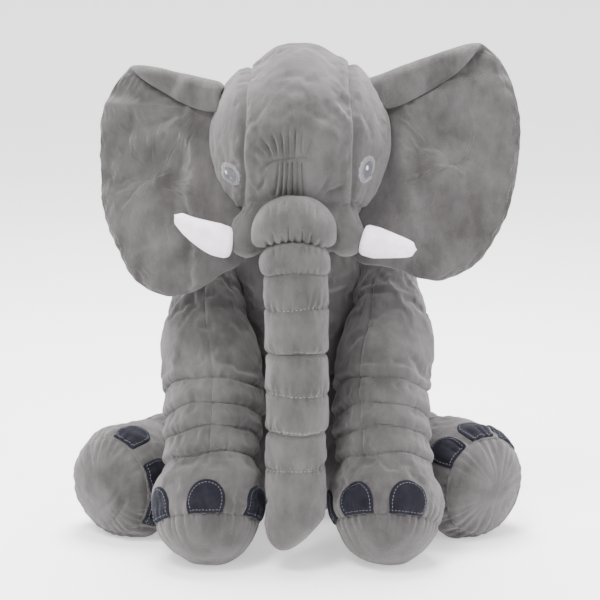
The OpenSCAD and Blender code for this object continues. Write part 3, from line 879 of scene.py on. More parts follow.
def trunk_part(k):
    """One length of the trunk: its grid, and how far down the trunk each point is."""
    top = ball_at[k]
    start = top - 34.5
    if k < 2:
        end = TRUNK_RINGS[2 * k + 1]
        below = ball_at[k + 1]
        outline = [[0, start], [22, start + 7.5], [33.2, top - 14], [36.4 - 0.6 * k, top - 8]]
        outline += [[36.8 - 0.6 * k, s] for s in np.linspace(top + 4, end - 8, 5)]
        outline += [[36.6 - 0.6 * k, end - 4], [35.4 - 0.6 * k, end - 0.8], [32.5, end - 0.3]]
        outline += [[26.5, below - 23.5], [18, below - 30.5], [0, below - 35.2]]
    else:
        outline = [[0, start], [22, start + 7.5], [32.5, top - 14], [35.3, top - 8]]
        outline += [[35.6, s] for s in np.linspace(top + 6, 280, 5)]
        outline += [[34.6, 298], [29.5, 313], [19, 325], [0, 330.5]]
    grid, angle, s, radius = turned(trunk_axis, outline, 230 if k == 2 else 200, 240)
    seed = 400 + 20 * k
    wall = smooth_step(radius, 22, 32) * smooth_step(s, start + 14, top)
    for i, ring in enumerate(TRUNK_RINGS):
        gap = ring_level(ring, i, angle) - s
        pull = bell(gap, 2.6)
        radius = radius - (1.7 if i else 2.6) * pull * wall + 0.7 * bell(gap - 10, 8) * wall
        near = np.abs(gap)
        side_of = smooth_step(gap, -5, 1.5)
        radius = radius + (2.0 * side_of + 0.4) * gathers(angle, near, 26, 12 if i else 20, seed + i) * wall
    if k == 2:
        flat = np.stack([angle * 35, s], -1)
        radius = radius + 2.2 * crease(flat, [[40, 266], [58, 270], [74, 268]], 3, 12) * wall
    grid = trunk_axis.place(angle, s, np.maximum(radius, 0))
    if k == 2:
        lean = smooth_step(s, 262, 330)[..., None] * np.array([-4.0, 0, 0.0])
        slant = smooth_step(grid[..., 0] + 1, -20, 36) * smooth_step(s, 270, 330)
        lean = lean + slant[..., None] * np.array([-3.0, 0, 19.0])
        grid = grid + lean
    swell = uneven(grid, seed + 8, (1.3, 44), (0.7, 17), (0.3, 8))
    grid = swelled(grid, swell * wall)
    return grid, angle, s


trunk_names = ("trunk_upper", "trunk_middle", "trunk_tip")
for k, name in enumerate(trunk_names):
    grid, angle, s = trunk_part(k)
    skin(f"{name}_plush", grid, plush, name, (f"{name}_cover", f"{name}_filling"))
    lines = []
    a = np.linspace(0, 2 * math.pi, 140, endpoint=False)
    for i, ring in list(enumerate(TRUNK_RINGS))[2 * k : 2 * k + 2]:
        # The thread of a ring at the end of a length stays on its rounded edge.
        at_end = ring == TRUNK_RINGS[2 * k + 1] if k < 2 else False
        drawn = ring - 1.5 if at_end else ring
        level = np.minimum(ring_level(drawn, i, a), drawn + (2.5 if at_end else 3))
        lines.append((on_skin(grid, s, a, level, np.full(len(a), 0.35)), True))
    stitches(f"{name}_stitches", lines, name, pale_thread, 5.2, 3.6, 1.0)
clock_print("trunk done")


# %% [markdown]
# ## Head
# The head is a ball of three panels over the crown, with two short stubs that hold the tusks and
# a muzzle that holds the trunk. Those shapes must melt into one another, as cloth over filling
# does. A smooth union of distances gives that: from far outside, each grid point walks in along
# its own ray until it meets the blended surface. Seams and pleats are drawn on it afterwards.

# %% The head's blended surface
HEAD = np.array([2.0, -35, 486])
HEAD_R = 114.0
CHEST, CHEST_R = np.array([0.0, 25, 325]), 78.0
tusk_base = {-1: joint_mm("left_tusk_flex"), 1: joint_mm("right_tusk_flex")}


def to_capsule(p, a, b, ra, rb):
    """Distance to a round-ended cone from a to b."""
    a, b = np.asarray(a, float), np.asarray(b, float)
    step = b - a
    t = np.clip(((p - a) @ step) / (step @ step), 0, 1)
    return np.linalg.norm(p - (a + t[..., None] * step), axis=-1) - (ra + (rb - ra) * t)


def smooth_union(a, b, soft):
    """The nearer of two distances, rounded where they meet."""
    h = np.clip(0.5 + 0.5 * (b - a) / soft, 0, 1)
    return b * (1 - h) + a * h - soft * h * (1 - h)


def to_head(p):
    """Distance to the ball, the muzzle and the two cheeks, melted into one."""
    d = (np.linalg.norm((p - HEAD) / [0.945, 1.0, 1.0], axis=-1) - HEAD_R) * 0.96
    d = smooth_union(d, np.linalg.norm(p - [-2, -98, 392], axis=-1) - 45, 16)
    for side in (-1, 1):
        out = unit(tusk_base[side] - [side * 30, -112, 388])
        end = tusk_base[side] - out * 21 + [side * 1.0, 0, 0]
        d = smooth_union(d, to_capsule(p, [side * 48 - 2, -108, 392], end, 27, 21.5), 12)
    return d


def rays_from_middle(rows, cols):
    """Directions from a middle point, from pole to pole along X."""
    tilt = np.linspace(0, math.pi, rows)[:, None]
    spin = np.linspace(0, 2 * math.pi, cols, endpoint=False)[None, :]
    x = -np.cos(tilt) + 0 * spin
    return np.stack([x, -np.sin(tilt) * np.cos(spin), np.sin(tilt) * np.sin(spin)], -1)


rays = rays_from_middle(261, 376)
reach = np.full(rays.shape[:2], 205.0)
for _ in range(70):
    reach = reach - 0.8 * to_head(HEAD + rays * reach[..., None])
to_chest = CHEST - HEAD
along_ray = rays @ to_chest
inside = along_ray**2 - (to_chest @ to_chest - (CHEST_R + 0.8) ** 2)
hit = np.where(inside > 0, along_ray - np.sqrt(np.maximum(inside, 0)), 1e9)
reach = np.where((hit > 0) & (hit < reach), hit, reach)
head = HEAD + rays * reach[..., None]
socket_rim = (hit > 0) & (hit < 500)
print("head reaches from", head.reshape(-1, 3).min(0).round(), "to", head.reshape(-1, 3).max(0).round())

# %% Seams, gathers and pleats of the head
flat = np.stack([head[..., 0], head[..., 2]], -1)
facing = smooth_step(-(head[..., 1] - HEAD[1]), 10, 40)
free = np.where(socket_rim, 0.0, 1.0)
for _ in range(6):
    beside = np.roll(free, 1, 1) + np.roll(free, -1, 1) + np.roll(free, 1, 0) + np.roll(free, -1, 0)
    free = np.minimum(free, beside / 4)
swell = uneven(head, 500, (2.6, 70), (1.2, 30), (0.4, 10))
left_seam = -62.0 + 0.02 * (head[..., 2] - 480)
right_seam = 63.0 - 0.05 * np.maximum(480 - head[..., 2], 0)
for seam in (left_seam, right_seam):
    gap = np.abs(head[..., 0] - seam)
    low = smooth_step(head[..., 2], 405, 420)
    swell = swell - 3.0 * bell(gap, 2.0) * low + 1.3 * bell(gap - 8, 5) * low
arc = [[-40, 462], [-30, 473], [-10, 478], [8, 479], [20, 474]]
swell = swell + facing * (3.4 * crease(flat, arc, 2.0, 16))
swell = swell - 7.5 * smooth_step(head[..., 2], 535, 590) * bell(np.abs(head[..., 0]) - 54, 24)
for x, lean, wide, deep in (
    (-22, -3, 1.5, 3.6),
    (-16.5, -1.5, 1.4, 4.6),
    (-11, -1, 1.3, 4.0),
    (-5.5, 0, 1.4, 4.8),
    (0, 0, 1.3, 3.6),
    (5.5, 1, 1.4, 3.6),
):
    path = [[x + lean * 1.2, 434], [x, 455], [x - lean * 0.5, 476]]
    swell = swell + facing * deep * crease(flat, path, wide, 5)
for x, top_x, top_z, deep in (
    (-33, -44, 488, 2.6),
    (-27, -39, 498, 3.2),
    (-21, -28, 504, 3.8),
    (-15, -19, 511, 3.4),
    (-9, -10, 514, 2.6),
    (-3, -2, 513, 3.8),
    (3, 6, 508, 2.4),
    (9, 17, 500, 1.6),
):
    path = [[x, 478], [(x + top_x) / 2, (478 + top_z) / 2 + 1], [top_x, top_z]]
    swell = swell + facing * 1.5 * deep * crease(flat, path, 2.0, 12)
for path, wide, deep in (
    ([[-46, 438], [-40, 446], [-36, 458]], 2.4, 2.2),
    ([[30, 436], [42, 441], [52, 447]], 2.6, 2.4),
    ([[20, 434], [30, 446], [36, 458]], 2.4, 1.2),
    ([[-58, 424], [-50, 414], [-44, 396]], 2.6, 2.4),
    ([[57, 426], [50, 414], [46, 398]], 2.6, 2.2),
    ([[-88, 402], [-72, 408], [-60, 420]], 2.4, 2.4),
    ([[60, 428], [74, 412], [86, 402]], 2.4, 2.4),
    ([[-60, 396], [-52, 380], [-44, 366]], 3.0, 2.0),
):
    swell = swell + facing * deep * crease(flat, path, wide, 8)
between_folds = np.exp(-(((head[..., 2] - 456) / 15) ** 2) - (((head[..., 0] + 10) / 26) ** 2))
swell = swell + facing * 3.0 * between_folds
head = swelled(head, swell * free)
held = 1 - free + smooth_step(np.abs(head[..., 0] - HEAD[0]), 96, 104)
for seam in (left_seam, right_seam):
    held = held + bell(head[..., 0] - seam, 4)
from_muzzle = np.hypot(head[..., 0] + 3, (head[..., 2] - 425) * 0.8)
face_front = np.exp(-((from_muzzle / 70) ** 4)) * smooth_step(-head[..., 1], 60, 90)
head = plump("head", head, held + face_front, grow=0.015, most=4.0)
skin(
    "head_plush", head, plush, "head",
    (
        "head_centre_panel", "head_left_panel", "head_right_panel", "head_filling",
        "muzzle_cover", "left_cheek", "right_cheek",
    ),
)


# %% [markdown]
# ## The two rolls over the trunk
# Two padded rolls lie one above the other at the root of the trunk. The upper one is a plump
# half moon whose lower edge is gathered; the lower one is a short sausage.

# %% Brow roll and snout roll
def roll(centre, half, power):
    """A puffed pillow: round from the side, a squarer lozenge from the front."""
    ray = rays_from_middle(150, 200)
    size = (np.abs(ray / half) ** power).sum(-1) ** (-1 / power)
    return centre + ray * size[..., None]


brow = roll(np.array([-4.5, -142, 407.5]), np.array([49.0, 37.0, 28.0]), 2.55)
flat = np.stack([brow[..., 0], brow[..., 2]], -1)
facing = smooth_step(-(brow[..., 1] + 141), 0, 12)
brow[..., 2] -= 0.0068 * (brow[..., 0] + 4.5) ** 2
swell = uneven(brow, 601, (1.0, 34), (0.5, 14))
for x, top_x, top_z, deep in (
    (-30, -37, 396, 2.6),
    (-23, -29, 403, 3.2),
    (-15, -18, 399, 3.0),
    (-9, -10, 407, 3.6),
    (-2, -3, 397, 2.8),
    (5, 6, 405, 3.2),
    (13, 17, 401, 3.0),
    (21, 27, 397, 2.4),
    (28, 34, 393, 2.0),
):
    path = [[x, 375], [(x + top_x) / 2, 387], [top_x, top_z]]
    swell = swell + facing * deep * crease(flat, path, 1.9, 7)
for x in (-33, -24, -14, -5, 4, 13, 23):
    swell = swell + facing * 1.5 * crease(flat, [[x, 434], [x * 0.95, 426], [x * 0.93, 419]], 1.8, 6)
brow = swelled(brow, swell)
skin("brow_roll_plush", brow, plush, "head", ("brow_roll",))

snout = roll(np.array([-3.0, -150.0, 365.0]), np.array([41.0, 35.0, 22.0]), 2.5)
snout[..., 2] -= 0.0045 * (snout[..., 0] + 3) ** 2
flat = np.stack([snout[..., 0], snout[..., 2]], -1)
facing = smooth_step(-(snout[..., 1] + 148), 0, 10)
swell = uneven(snout, 611, (0.8, 30), (0.4, 12))
for x in (-26, -18, -11, -4, 4, 12, 20, 27):
    swell = swell + facing * 1.0 * crease(flat, [[x * 1.05, 383], [x, 377], [x * 0.98, 370]], 1.7, 5)
    swell = swell + facing * 1.2 * crease(flat, [[x * 0.9, 346], [x * 0.92, 353], [x * 0.94, 359]], 1.8, 5)
snout = swelled(snout, swell)
skin("snout_roll_plush", snout, plush, "head", ("snout_roll",))


# %% [markdown]
# ## Tusks
# A tusk is a small cone of white fleece. It leaves the cheek level and its tip turns up, so the
# cone is turned about a curved line instead of a straight axis.

# %% Tusks
TUSK_LONG, TUSK_ROUND = 70, 12


def tusk(side):
    """A cone round a curved line from the cheek to the tip."""
    base = tusk_base[side]
    tip = np.array([-140.0, -134, 411]) if side < 0 else np.array([136.0, -132, 371])
    sag = np.array([0, 0, -13.0]) if side < 0 else np.array([0, 0, -3.0])
    out = unit(tip - base)
    rows, cols = 120, 96
    t = np.linspace(0, 1, rows)[:, None]
    first, middle, last = base - out * 4, (base + tip) / 2 + sag, tip + out * 1.5
    line = (1 - t) ** 2 * first + 2 * t * (1 - t) * middle + t**2 * last
    ahead = unit(np.gradient(line, axis=0))
    up = unit(np.array([0, 0, 1.0]) - (ahead @ [0, 0, 1.0])[:, None] * ahead)
    back = np.cross(ahead, up)
    share = t[:, 0]
    radii = [0, 14, 18.2, 18.8, 15.4, 10.6, 8.0, 5.6, 0]
    radius = np.interp(share, [0, 0.03, 0.1, 0.3, 0.55, 0.8, 0.92, 0.97, 1.0], radii)
    radius = np.convolve(np.pad(radius, 4, mode="edge"), np.ones(9) / 9, "valid")
    round_tip = np.minimum(1, np.sqrt(np.maximum(1 - share, 0) * 14))
    radius = (radius * round_tip * np.minimum(1, np.sqrt(share * 18)))[:, None]
    angle = np.linspace(0, 2 * math.pi, cols, endpoint=False)[None, :]
    folds = gathers(angle, t * TUSK_LONG, 16, 22, 700 + side) * smooth_step(t, 0.02, 0.08)
    seam = bell(turn_between(angle, math.pi) * TUSK_ROUND, 1.4)
    seam = seam * smooth_step(t, 0.03, 0.12) * smooth_step(1 - t, 0.02, 0.1)
    wide = np.maximum(radius + 0.9 * folds - 0.9 * seam, 0)
    wide[0] = wide[-1] = 0
    across = np.cos(angle)[..., None] * up[:, None] + np.sin(angle)[..., None] * back[:, None]
    grid = line[:, None] + wide[..., None] * across
    return swelled(grid, 0.7 * lumps(grid, 26, 710 + side) * smooth_step(wide, 3, 12))


for side, word in ((-1, "left"), (1, "right")):
    solids = (f"{word}_tusk_cover", f"{word}_tusk_filling")
    skin(f"{word}_tusk_fleece", tusk(side), fleece, f"{word}_tusk", solids)


# %% [markdown]
# ## Ears
# An ear is two leaves of plush with a thin layer of wadding. Its top edge is folded forward and
# caught at the root, so it makes a lid that runs out to the corner. The leaf is drawn flat, given
# its thin puffed thickness, then bent: forward over the fold line, and in soft ridges that
# fan out from the root.

# %% Ears
EAR_LEAN = 12.5


def ear_place(side, points):
    """From the ear's own flat (out, up, forward) to the toy."""
    turn = math.radians(20 if side < 0 else 2)
    x, y, z = points[..., 0] * side, points[..., 1], points[..., 2]
    a = side * turn
    x, z = x * math.cos(a) + z * math.sin(a), -x * math.sin(a) + z * math.cos(a)
    b = math.radians(90 - EAR_LEAN)
    y, z = y * math.cos(b) - z * math.sin(b), y * math.sin(b) + z * math.cos(b)
    x, y, z = x + 2 + side * 119.5, y - 45, z + 520
    c = -math.radians(2.5)
    dx, dz = x - HEAD[0], z - HEAD[2]
    x, z = dx * math.cos(c) + dz * math.sin(c) + HEAD[0], -dx * math.sin(c) + dz * math.cos(c) + HEAD[2]
    return np.stack([x, y, z], -1)


EAR_EDGES = {
    -1: [
        [-33, 0], [-36, 30], [-44, 52], [-48, 66], [-24, 76], [4, 79], [30, 79], [54, 78], [76, 73], [94, 60],
        [109, 37], [121, -4], [128, -58], [122, -108], [106, -152], [82, -190], [46, -209], [16, -207],
        [-4, -199], [-22, -187], [-44, -178], [-60, -160], [-62, -134], [-56, -112], [-46, -94], [-36, -74],
        [-32, -40],
    ],
    1: [
        [-34, 0], [-37, 24], [-48, 42], [-58, 58], [-34, 78], [-2, 86], [32, 90], [58, 90], [84, 84],
        [102, 73], [117, 58], [128, 39], [135, 14], [140, -21], [138, -58], [129, -106], [117, -139],
        [86, -184], [45, -204], [14, -201], [-6, -192], [-28, -185],
        [-54, -180], [-68, -158], [-66, -126], [-54, -100], [-40, -80],
        [-34, -44],
    ],
}
EAR_FOLDS = {-1: ([0.0, 34.0], [86.0, 60.0]), 1: ([0.0, 33.0], [94.0, 62.0])}
EAR_CENTRE = np.array([62.0, -70.0])
EAR_HALF_THICK = 8.0
FOLD_RADIUS = 7.5
FOLD_TURN = math.pi * 0.93
RIGHT_EAR_CREASES = (
    [[77, 6], [83, -34], [71, -63]],
    [[34, -71], [56, -74], [76, -87]],
    [[-4, -10], [16, -28], [28, -44]],
)


def ear_rim(side, count, per_span=20):
    """The ear's outline, as a smooth closed line."""
    loop = np.array(EAR_EDGES[side], float)
    n = len(loop)
    spans = [
        [between(*(loop[(i + step) % n] for step in (-1, 0, 1, 2)), k / per_span) for k in range(per_span)]
        for i in range(n)
    ]
    return evenly(np.concatenate(spans + [spans[0][:1]]), count, closed=True)


def ear_relief(side, x, y, seed):
    """How far the leaf's middle lies forward of flat: ridges from the root, creases and a dish."""
    spread = np.arctan2(y - 8, np.maximum(x, 1))
    away = np.hypot(x, y - 8)
    places = np.stack([x, y, 0 * x], -1)
    ridges = 3.4 * np.sin(spread * 7 + 1.3 + 0.6 * side)
    ridges = ridges * smooth_step(away, 10, 60) * smooth_step(-away, -210, -110)
    ridges = ridges + 4.0 * lumps(places, 66, seed) + 1.8 * lumps(places, 30, seed + 5)
    reach_out = smooth_step(away, 4, 40) * smooth_step(-away, -160, -70)
    strong = 1.0 if side < 0 else 0.35
    for at_angle, wide, tall in (
        (0.14, 0.09, 5.5),
        (-0.2, 0.13, -6.0),
        (-0.5, 0.12, 4.0),
        (-0.85, 0.12, -4.5),
    ):
        ridges = ridges + strong * tall * bell(spread - at_angle, wide) * reach_out
    ridges = ridges * smooth_step(x, -4, 24)
    if side > 0:
        for path in RIGHT_EAR_CREASES:
            ridges = ridges - 2.2 * crease(np.stack([x, y], -1), path, 2.6, 10)
    dish = 16 * smooth_step(x, 70, 165) + 8 * smooth_step(-y, 120, 230)
    return ridges + dish - 6 * smooth_step(-x, -10, 20)


def fold_over(side, flat, middle, offset):
    """Bend the top of the leaf forward over the fold line. Also gives how far each point is past it."""
    start, end = (np.array(p) for p in EAR_FOLDS[side])
    along = unit(end - start)
    over = np.array([-along[1], along[0]])
    past = (flat - start) @ over
    at = (flat - start) @ along
    turn = np.clip(past / FOLD_RADIUS, 0, FOLD_TURN)
    extra = np.maximum(past - FOLD_RADIUS * FOLD_TURN, 0)
    folded = past > 0
    new_over = np.where(folded, FOLD_RADIUS * np.sin(turn) + extra * math.cos(FOLD_TURN), past)
    raised = middle + FOLD_RADIUS * (1 - np.cos(turn)) + extra * math.sin(FOLD_TURN) * 0.3
    new_over = new_over + offset * np.where(folded, -np.sin(turn), 0)
    new_z = np.where(folded, raised, middle) + offset * np.where(folded, np.cos(turn), 1)
    bent = start + at[..., None] * along + new_over[..., None] * over
    return np.concatenate([bent, new_z[..., None]], -1), past


def ear(side):
    """Two leaves joined at the rim, from the front leaf's middle to the back leaf's middle."""
    half = 91
    share = np.sin(np.linspace(0, math.pi / 2, half))
    share = np.concatenate([share, np.sin(np.linspace(math.pi / 2, 0, half))[1:]])[:, None]
    face = np.concatenate([np.ones(half - 1), [0], -np.ones(half - 1)])[:, None]
    flat = EAR_CENTRE + share[..., None] * (ear_rim(side, 376) - EAR_CENTRE)
    x, y = flat[..., 0], flat[..., 1]
    seed = 800 + side
    swell = 0.9 * lumps(np.stack([x, y, 40 * face + 0 * x], -1), 20, seed + 9)
    thick = EAR_HALF_THICK * np.sqrt(np.maximum(1 - share**8, 0)) * face
    points, past = fold_over(side, flat, ear_relief(side, x, y, seed), thick * (1 + 0.08 * swell))
    held = bell(1 - share, 0.03) + smooth_step(past, -8, 4) + smooth_step(-x, -14, 0)
    name = "left_ear" if side < 0 else "right_ear"
    return plump(name, ear_place(side, points), held, grow=0.03, most=4.0, press=1.0)


for side, word in ((-1, "left"), (1, "right")):
    grid = ear(side)
    print(word, "ear", grid.reshape(-1, 3).min(0).round(), grid.reshape(-1, 3).max(0).round())
    solids = (f"{word}_ear_front", f"{word}_ear_back", f"{word}_ear_wadding")
    skin(f"{word}_ear_plush", grid, plush, f"{word}_ear", solids)
clock_print("head, tusks and ears done")


# %% [markdown]
# ## Body
# The body is a pear with a flat seat. The legs are stuffed first and sewn against it, so it gives
# way to them: every point that would lie inside a leg moves back towards the body's axis. The zip
# lies in a narrow gap down the back.

# %% Body cover
SEAT = np.array([0.0, 82, 96])
body_axis = Axis(SEAT, CHEST - SEAT, (0, 1, 0))
body_len = float(np.linalg.norm(CHEST - SEAT))
outline = [[0, -105.9], [40, -98], [74, -76], [97, -42], [106, -4], [105.5, 12]]
outline += [[105.3 - 28 * (s - 12) / (body_len - 3), s] for s in np.linspace(40, body_len - 10, 6)]
outline += [[77.6, body_len + 6], [68, body_len + 38], [44, body_len + 64], [0, body_len + 78]]
grid, angle, height, radius = turned(body_axis, outline, 261, 320)
grid[..., 2] = np.maximum(grid[..., 2], -8)


def to_legs(p):
    """Distance to the nearest of the four legs."""
    d = np.full(p.shape[:-1], 1e9)
    for word in ("left", "right"):
        leg_axis = feet[f"{word}_front"][0]
        shoulder = joint_mm(f"{word}_front_leg_swing")
        d = np.minimum(d, to_capsule(p, leg_axis.foot + leg_axis.up * 60, shoulder, 64, 41))
        hip_axis = feet[f"{word}_hind"][0]
        d = np.minimum(d, to_capsule(p, hip_axis.foot, joint_mm(f"{word}_hind_leg_spread"), 72, 66))
    return d


core = SEAT + ((grid - SEAT) @ body_axis.up)[..., None] * body_axis.up
low, high = np.zeros(grid.shape[:2]), np.ones(grid.shape[:2])
blocked = to_legs(grid) < 0
for _ in range(12):
    mid = (low + high) / 2
    clear = to_legs(core + (grid - core) * mid[..., None]) > 0
    low, high = np.where(clear, mid, low), np.where(clear, high, mid)
keep = np.where(blocked, low, 1.0)
keep[0] = keep[-1] = 1
grid = core + (grid - core) * keep[..., None]
free = keep > 0.999
swell = uneven(grid, 901, (3.0, 80), (1.4, 34), (0.4, 11)) * free
back = smooth_step(grid[..., 1] - core[..., 1], 20, 50)
swell = swell - 2.6 * bell(grid[..., 0], 2.2) + 1.2 * bell(np.abs(grid[..., 0]) - 9, 5)
seat_seam = np.abs(grid[..., 2] - 14)
swell = swell - 2.4 * bell(seat_seam, 2.4) + 1.8 * gathers(angle, seat_seam, 60, 22, 905)
below_neck = smooth_step(-grid[..., 2], -375, -345)
swell = swell * below_neck - 2.0 * (1 - below_neck)
grid = swelled(grid, swell * smooth_step(radius, 6, 40))
zip_low, zip_high = box_mm("zip_tape")
zip_top, zip_bottom = zip_high[2] - 6, zip_low[2] + 6
slot_here = smooth_step(-np.abs(grid[..., 0]), -8.5, -5.5) * back
slot_here = slot_here * smooth_step(grid[..., 2], zip_bottom - 2, zip_bottom + 2)
slot_here = slot_here * smooth_step(-grid[..., 2], -zip_top - 2, -zip_top + 2)
grid = swelled(grid, -7.5 * slot_here)
held = (keep < 0.999) + bell(grid[..., 0], 12) + bell(seat_seam, 5)
held = held + smooth_step(-grid[..., 2], -12, -4) + smooth_step(grid[..., 2], 350, 372)
grid = plump("body", grid, np.minimum(held, 1), grow=0.03, most=6)
solids = ("torso_cover", "torso_base_panel", "torso_filling")
skin("torso_plush", settle(grid), plush, "torso", solids)


# %% [markdown]
# ## Eyes, tail and small things
# The eyes are embroidered: a pale outline and a grey-violet iris. The white spot at the upper left of each
# eye is a painted highlight, the glint of the key light.

# %% Eyes
EYE_SPOTS = {-1: [-82.0, -72, -31], 1: [71.0, -74, -22]}
HEAD_DIRECTIONS = unit(head - HEAD).reshape(-1, 3)
HEAD_REACH = np.linalg.norm(head - HEAD, axis=-1).ravel()


def patch_on_head(centre, outline_xy, lift):
    """A flat shape laid on the head, as rows from its middle out and back underneath."""
    ray = unit(centre - HEAD)
    right = -unit(np.cross([0, 0, 1.0], ray))
    up = -np.cross(ray, right)
    up = up * np.sign(up[2])
    right = right * np.sign(right[0])
    rows = []
    for share, low in ((0, 0), (0.5, 0), (0.85, 0), (1.0, -0.35), (1.0, -1.2), (0.5, -1.4), (0, -1.4)):
        pts = centre + share * (outline_xy[:, :1] * right + outline_xy[:, 1:] * up)
        dirs = unit(pts - HEAD)
        found = np.array([HEAD_REACH[np.argmax(HEAD_DIRECTIONS @ d)] for d in dirs])
        rows.append(HEAD + dirs * (found + lift + low)[:, None])
    return np.array(rows)


def oval(w, h, count=48, cx=0.0, cy=0.0):
    """An oval of points, by its half width, its half height and its middle."""
    t = np.linspace(0, 2 * math.pi, count, endpoint=False)
    return np.stack([cx + w * np.cos(t), cy + h * np.sin(t)], -1)


eye_field = plain_material("grey eye thread", (0.105, 0.103, 0.11), 0.6, sheen=0.3, grain=0.0012, bump=0.5)
eye_white = plain_material("pale eye thread", (0.14, 0.14, 0.15), 0.5, sheen=0.3, grain=0.0012, bump=0.6)
eye_iris = plain_material(
    "violet grey eye thread", (0.032, 0.03, 0.044), 0.45, sheen=0.3, grain=0.001, bump=0.6
)
# Painted highlight: a white spot that stands for the key light's glint on each eye.
eye_glint_paint = plain_material("painted eye glint", (0.5, 0.5, 0.52), 0.4, sheen=0.3)
lash = np.array([[-3.0, -0.8], [0, -1.6], [3.4, -0.6], [4.2, 1.2], [2.6, 0.4], [0, -0.4], [-2.6, 0.2]])
lash = np.repeat(lash * 1.5 + np.array([6.5, -12.0]), 3, 0) + 0.01 * np.arange(21)[:, None]
ragged_at = np.arange(72)
for side, word in ((-1, "left"), (1, "right")):
    centre = HEAD + unit(np.array(EYE_SPOTS[side])) * 113
    tall, broad = (0.98, 1.5) if side < 0 else (1.08, 1.25)
    ragged = 1 + 0.05 * np.sin(ragged_at * 2.6) + 0.04 * np.sin(ragged_at * 1.1 + side)
    for part, shape, lift, thread in (
        ("outline", oval(11.2 * broad, 14.6 * tall, 72) * ragged[:, None], 0.9, eye_white),
        ("field", oval(9.6 * broad, 12.9 * tall, cx=0.2), 1.3, eye_field),
        ("iris", oval(7.2 * broad, 9.6 * tall, cx=1.2, cy=-0.6), 1.8, eye_iris),
        # The painted highlight of the key light, laid over the iris.
        ("painted_glint", oval(1.9, 2.6, cx=-2.2, cy=2.6), 2.3, eye_glint_paint),
        ("lash", lash, 1.4, eye_white),
    ):
        solids = (f"{word}_eye",) if part == "outline" else ()
        skin(f"{word}_eye_{part}", patch_on_head(centre, shape, lift), thread, "head", solids)

# %% Tail
tail_root, tail_tip = np.array([0.0, 196, 108]), np.array([0.0, 199, 30])
tail_axis = Axis(tail_tip, tail_root - tail_tip, (0, 1, 0))
tail_len = float(np.linalg.norm(tail_root - tail_tip))


def hang_tail(name, angle, height, radius, solid):
    """One part of the tail, closed at both ends."""
    radius = np.maximum(radius, 0)
    radius[0] = radius[-1] = 0
    skin(name, tail_axis.place(angle, height, radius), plush, "tail", (solid,))


outline = [[0, -4], [4, -3.5], [5.4, 1], [5.8, 20], [6.6, 45]]
outline += [[7.6, tail_len - 5], [7, tail_len + 4], [0, tail_len + 8]]
grid, angle, height, radius = turned(tail_axis, outline, 110, 64)
radius = radius - 0.7 * bell(turn_between(angle, 0) * 6, 1.2) + 0.5 * lumps(grid, 12, 960)
hang_tail("tail_plush", angle, height, radius, "tail_cover")
outline = [[0, -23.5], [4, -22.5], [7, -18], [7.7, -13], [6.8, -7], [5, -1.5], [3, 1], [0, 1.5]]
_, angle, height, radius = turned(tail_axis, outline, 90, 96)
from_tip = np.maximum(height + 23, 0)
radius = radius + 1.5 * gathers(angle, from_tip * 0.5, 14, 14, 970) * smooth_step(radius, 1, 4)
hang_tail("tail_tuft_plush", angle, height, radius, "tail_tuft")

# %% Finishes of the zip and the label
tape_cloth = plain_material("woven tape", (0.14, 0.136, 0.13), 0.85, grain=0.0006, bump=0.5)
tooth_resin = plain_material("tooth resin", (0.1, 0.097, 0.092), 0.45, grain=0.001, bump=0.08)
slider_metal = plain_material("slider metal", (0.45, 0.45, 0.47), 0.32, 1.0, grain=0.0015, bump=0.06)
label_satin = plain_material("label satin", (0.72, 0.72, 0.7), 0.35, sheen=0.2, grain=0.0005, bump=0.3)
for node, material in (
    ("zip_tape", tape_cloth),
    ("zip_teeth", tooth_resin),
    ("zip_slider", slider_metal),
    ("zip_pull_tab", slider_metal),
    ("care_label", label_satin),
):
    mesh = frame["nodes"][node].data
    mesh.materials.clear()
    mesh.materials.append(material)
clock_print("body, eyes, tail and zip done")


# %% [markdown]
# ## Floor, light and camera
# A pale floor that bends up into a wall behind the toy, a key light from the front left, a dim fill
# from the right, a strong soft light above, and a long lens.

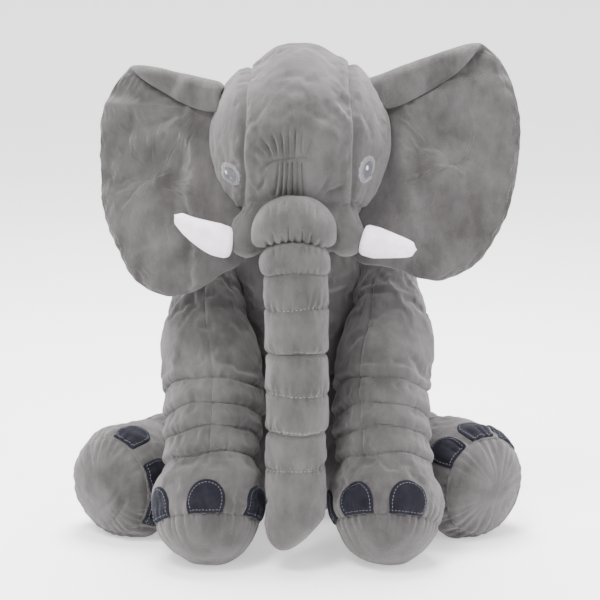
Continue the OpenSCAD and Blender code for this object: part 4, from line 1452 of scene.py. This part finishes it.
# %% Stage
studio, shader, _, _ = new_material("studio floor")
shader.inputs["Base Color"].default_value = (0.93, 0.93, 0.93, 1)
shader.inputs["Roughness"].default_value = 0.9
shader.inputs["Emission Color"].default_value = (1, 1, 1, 1)
shader.inputs["Emission Strength"].default_value = 0.6
sweep = [(-24, 0), (5.0, 0), (5.8, 0.08), (6.4, 0.4), (6.8, 1.2), (6.9, 7)]
verts = [(x, y, z) for y, z in sweep for x in (-24, 24)]
floor_mesh = bpy.data.meshes.new("studio_floor")
faces = [(i, i + 1, i + 3, i + 2) for i in range(0, len(verts) - 2, 2)]
floor_mesh.from_pydata(verts, [], faces)
floor_mesh.materials.append(studio)
floor_mesh.shade_smooth()
placed("studio_floor", floor_mesh)


def aim(thing, place, target):
    """Put a lamp or a camera in its place, looking at its target."""
    thing.location = place
    thing.rotation_euler = (Vector(target) - Vector(place)).to_track_quat("-Z", "Y").to_euler()


def lamp(name, place, target, size, power, colour=(1, 1, 1)):
    """A round soft light; sizes in metres, power in watts."""
    data = bpy.data.lights.new(name, "AREA")
    data.shape, data.size, data.energy, data.color = "DISK", size, power, colour
    aim(placed(name, data), place, target)


lamp("key_light", (-0.8, -1.5, 2.6), (0, 0, 0.3), 1.1, 100, (1, 0.985, 0.97))
lamp("fill_light", (1.9, -1.7, 1.1), (0, 0, 0.3), 1.6, 26, (0.97, 0.98, 1))
lamp("top_light", (0, 0.5, 2.4), (0, 0.1, 0.3), 1.4, 170)
world = bpy.data.worlds.new("studio air")
world.use_nodes = True
world.node_tree.nodes["Background"].inputs["Color"].default_value = (1, 1, 1, 1)
world.node_tree.nodes["Background"].inputs["Strength"].default_value = 1.55
bpy.context.scene.world = world

view_turn, view_rise, view_far = math.radians(0.3), math.radians(11), 2.3
camera_data = bpy.data.cameras.new("camera")
camera_data.lens = 112.2
camera_data.sensor_width = 36
camera_data.shift_x = 0.0033
camera = placed("camera", camera_data)
target = Vector((0, 0, 0.286))
level_far = math.cos(view_rise)
towards = Vector((level_far * math.sin(view_turn), -level_far * math.cos(view_turn), math.sin(view_rise)))
aim(camera, target + view_far * towards, target)
bpy.context.scene.camera = camera
print("stage, lamps and camera ready")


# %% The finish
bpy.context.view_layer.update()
clock_print("everything made")
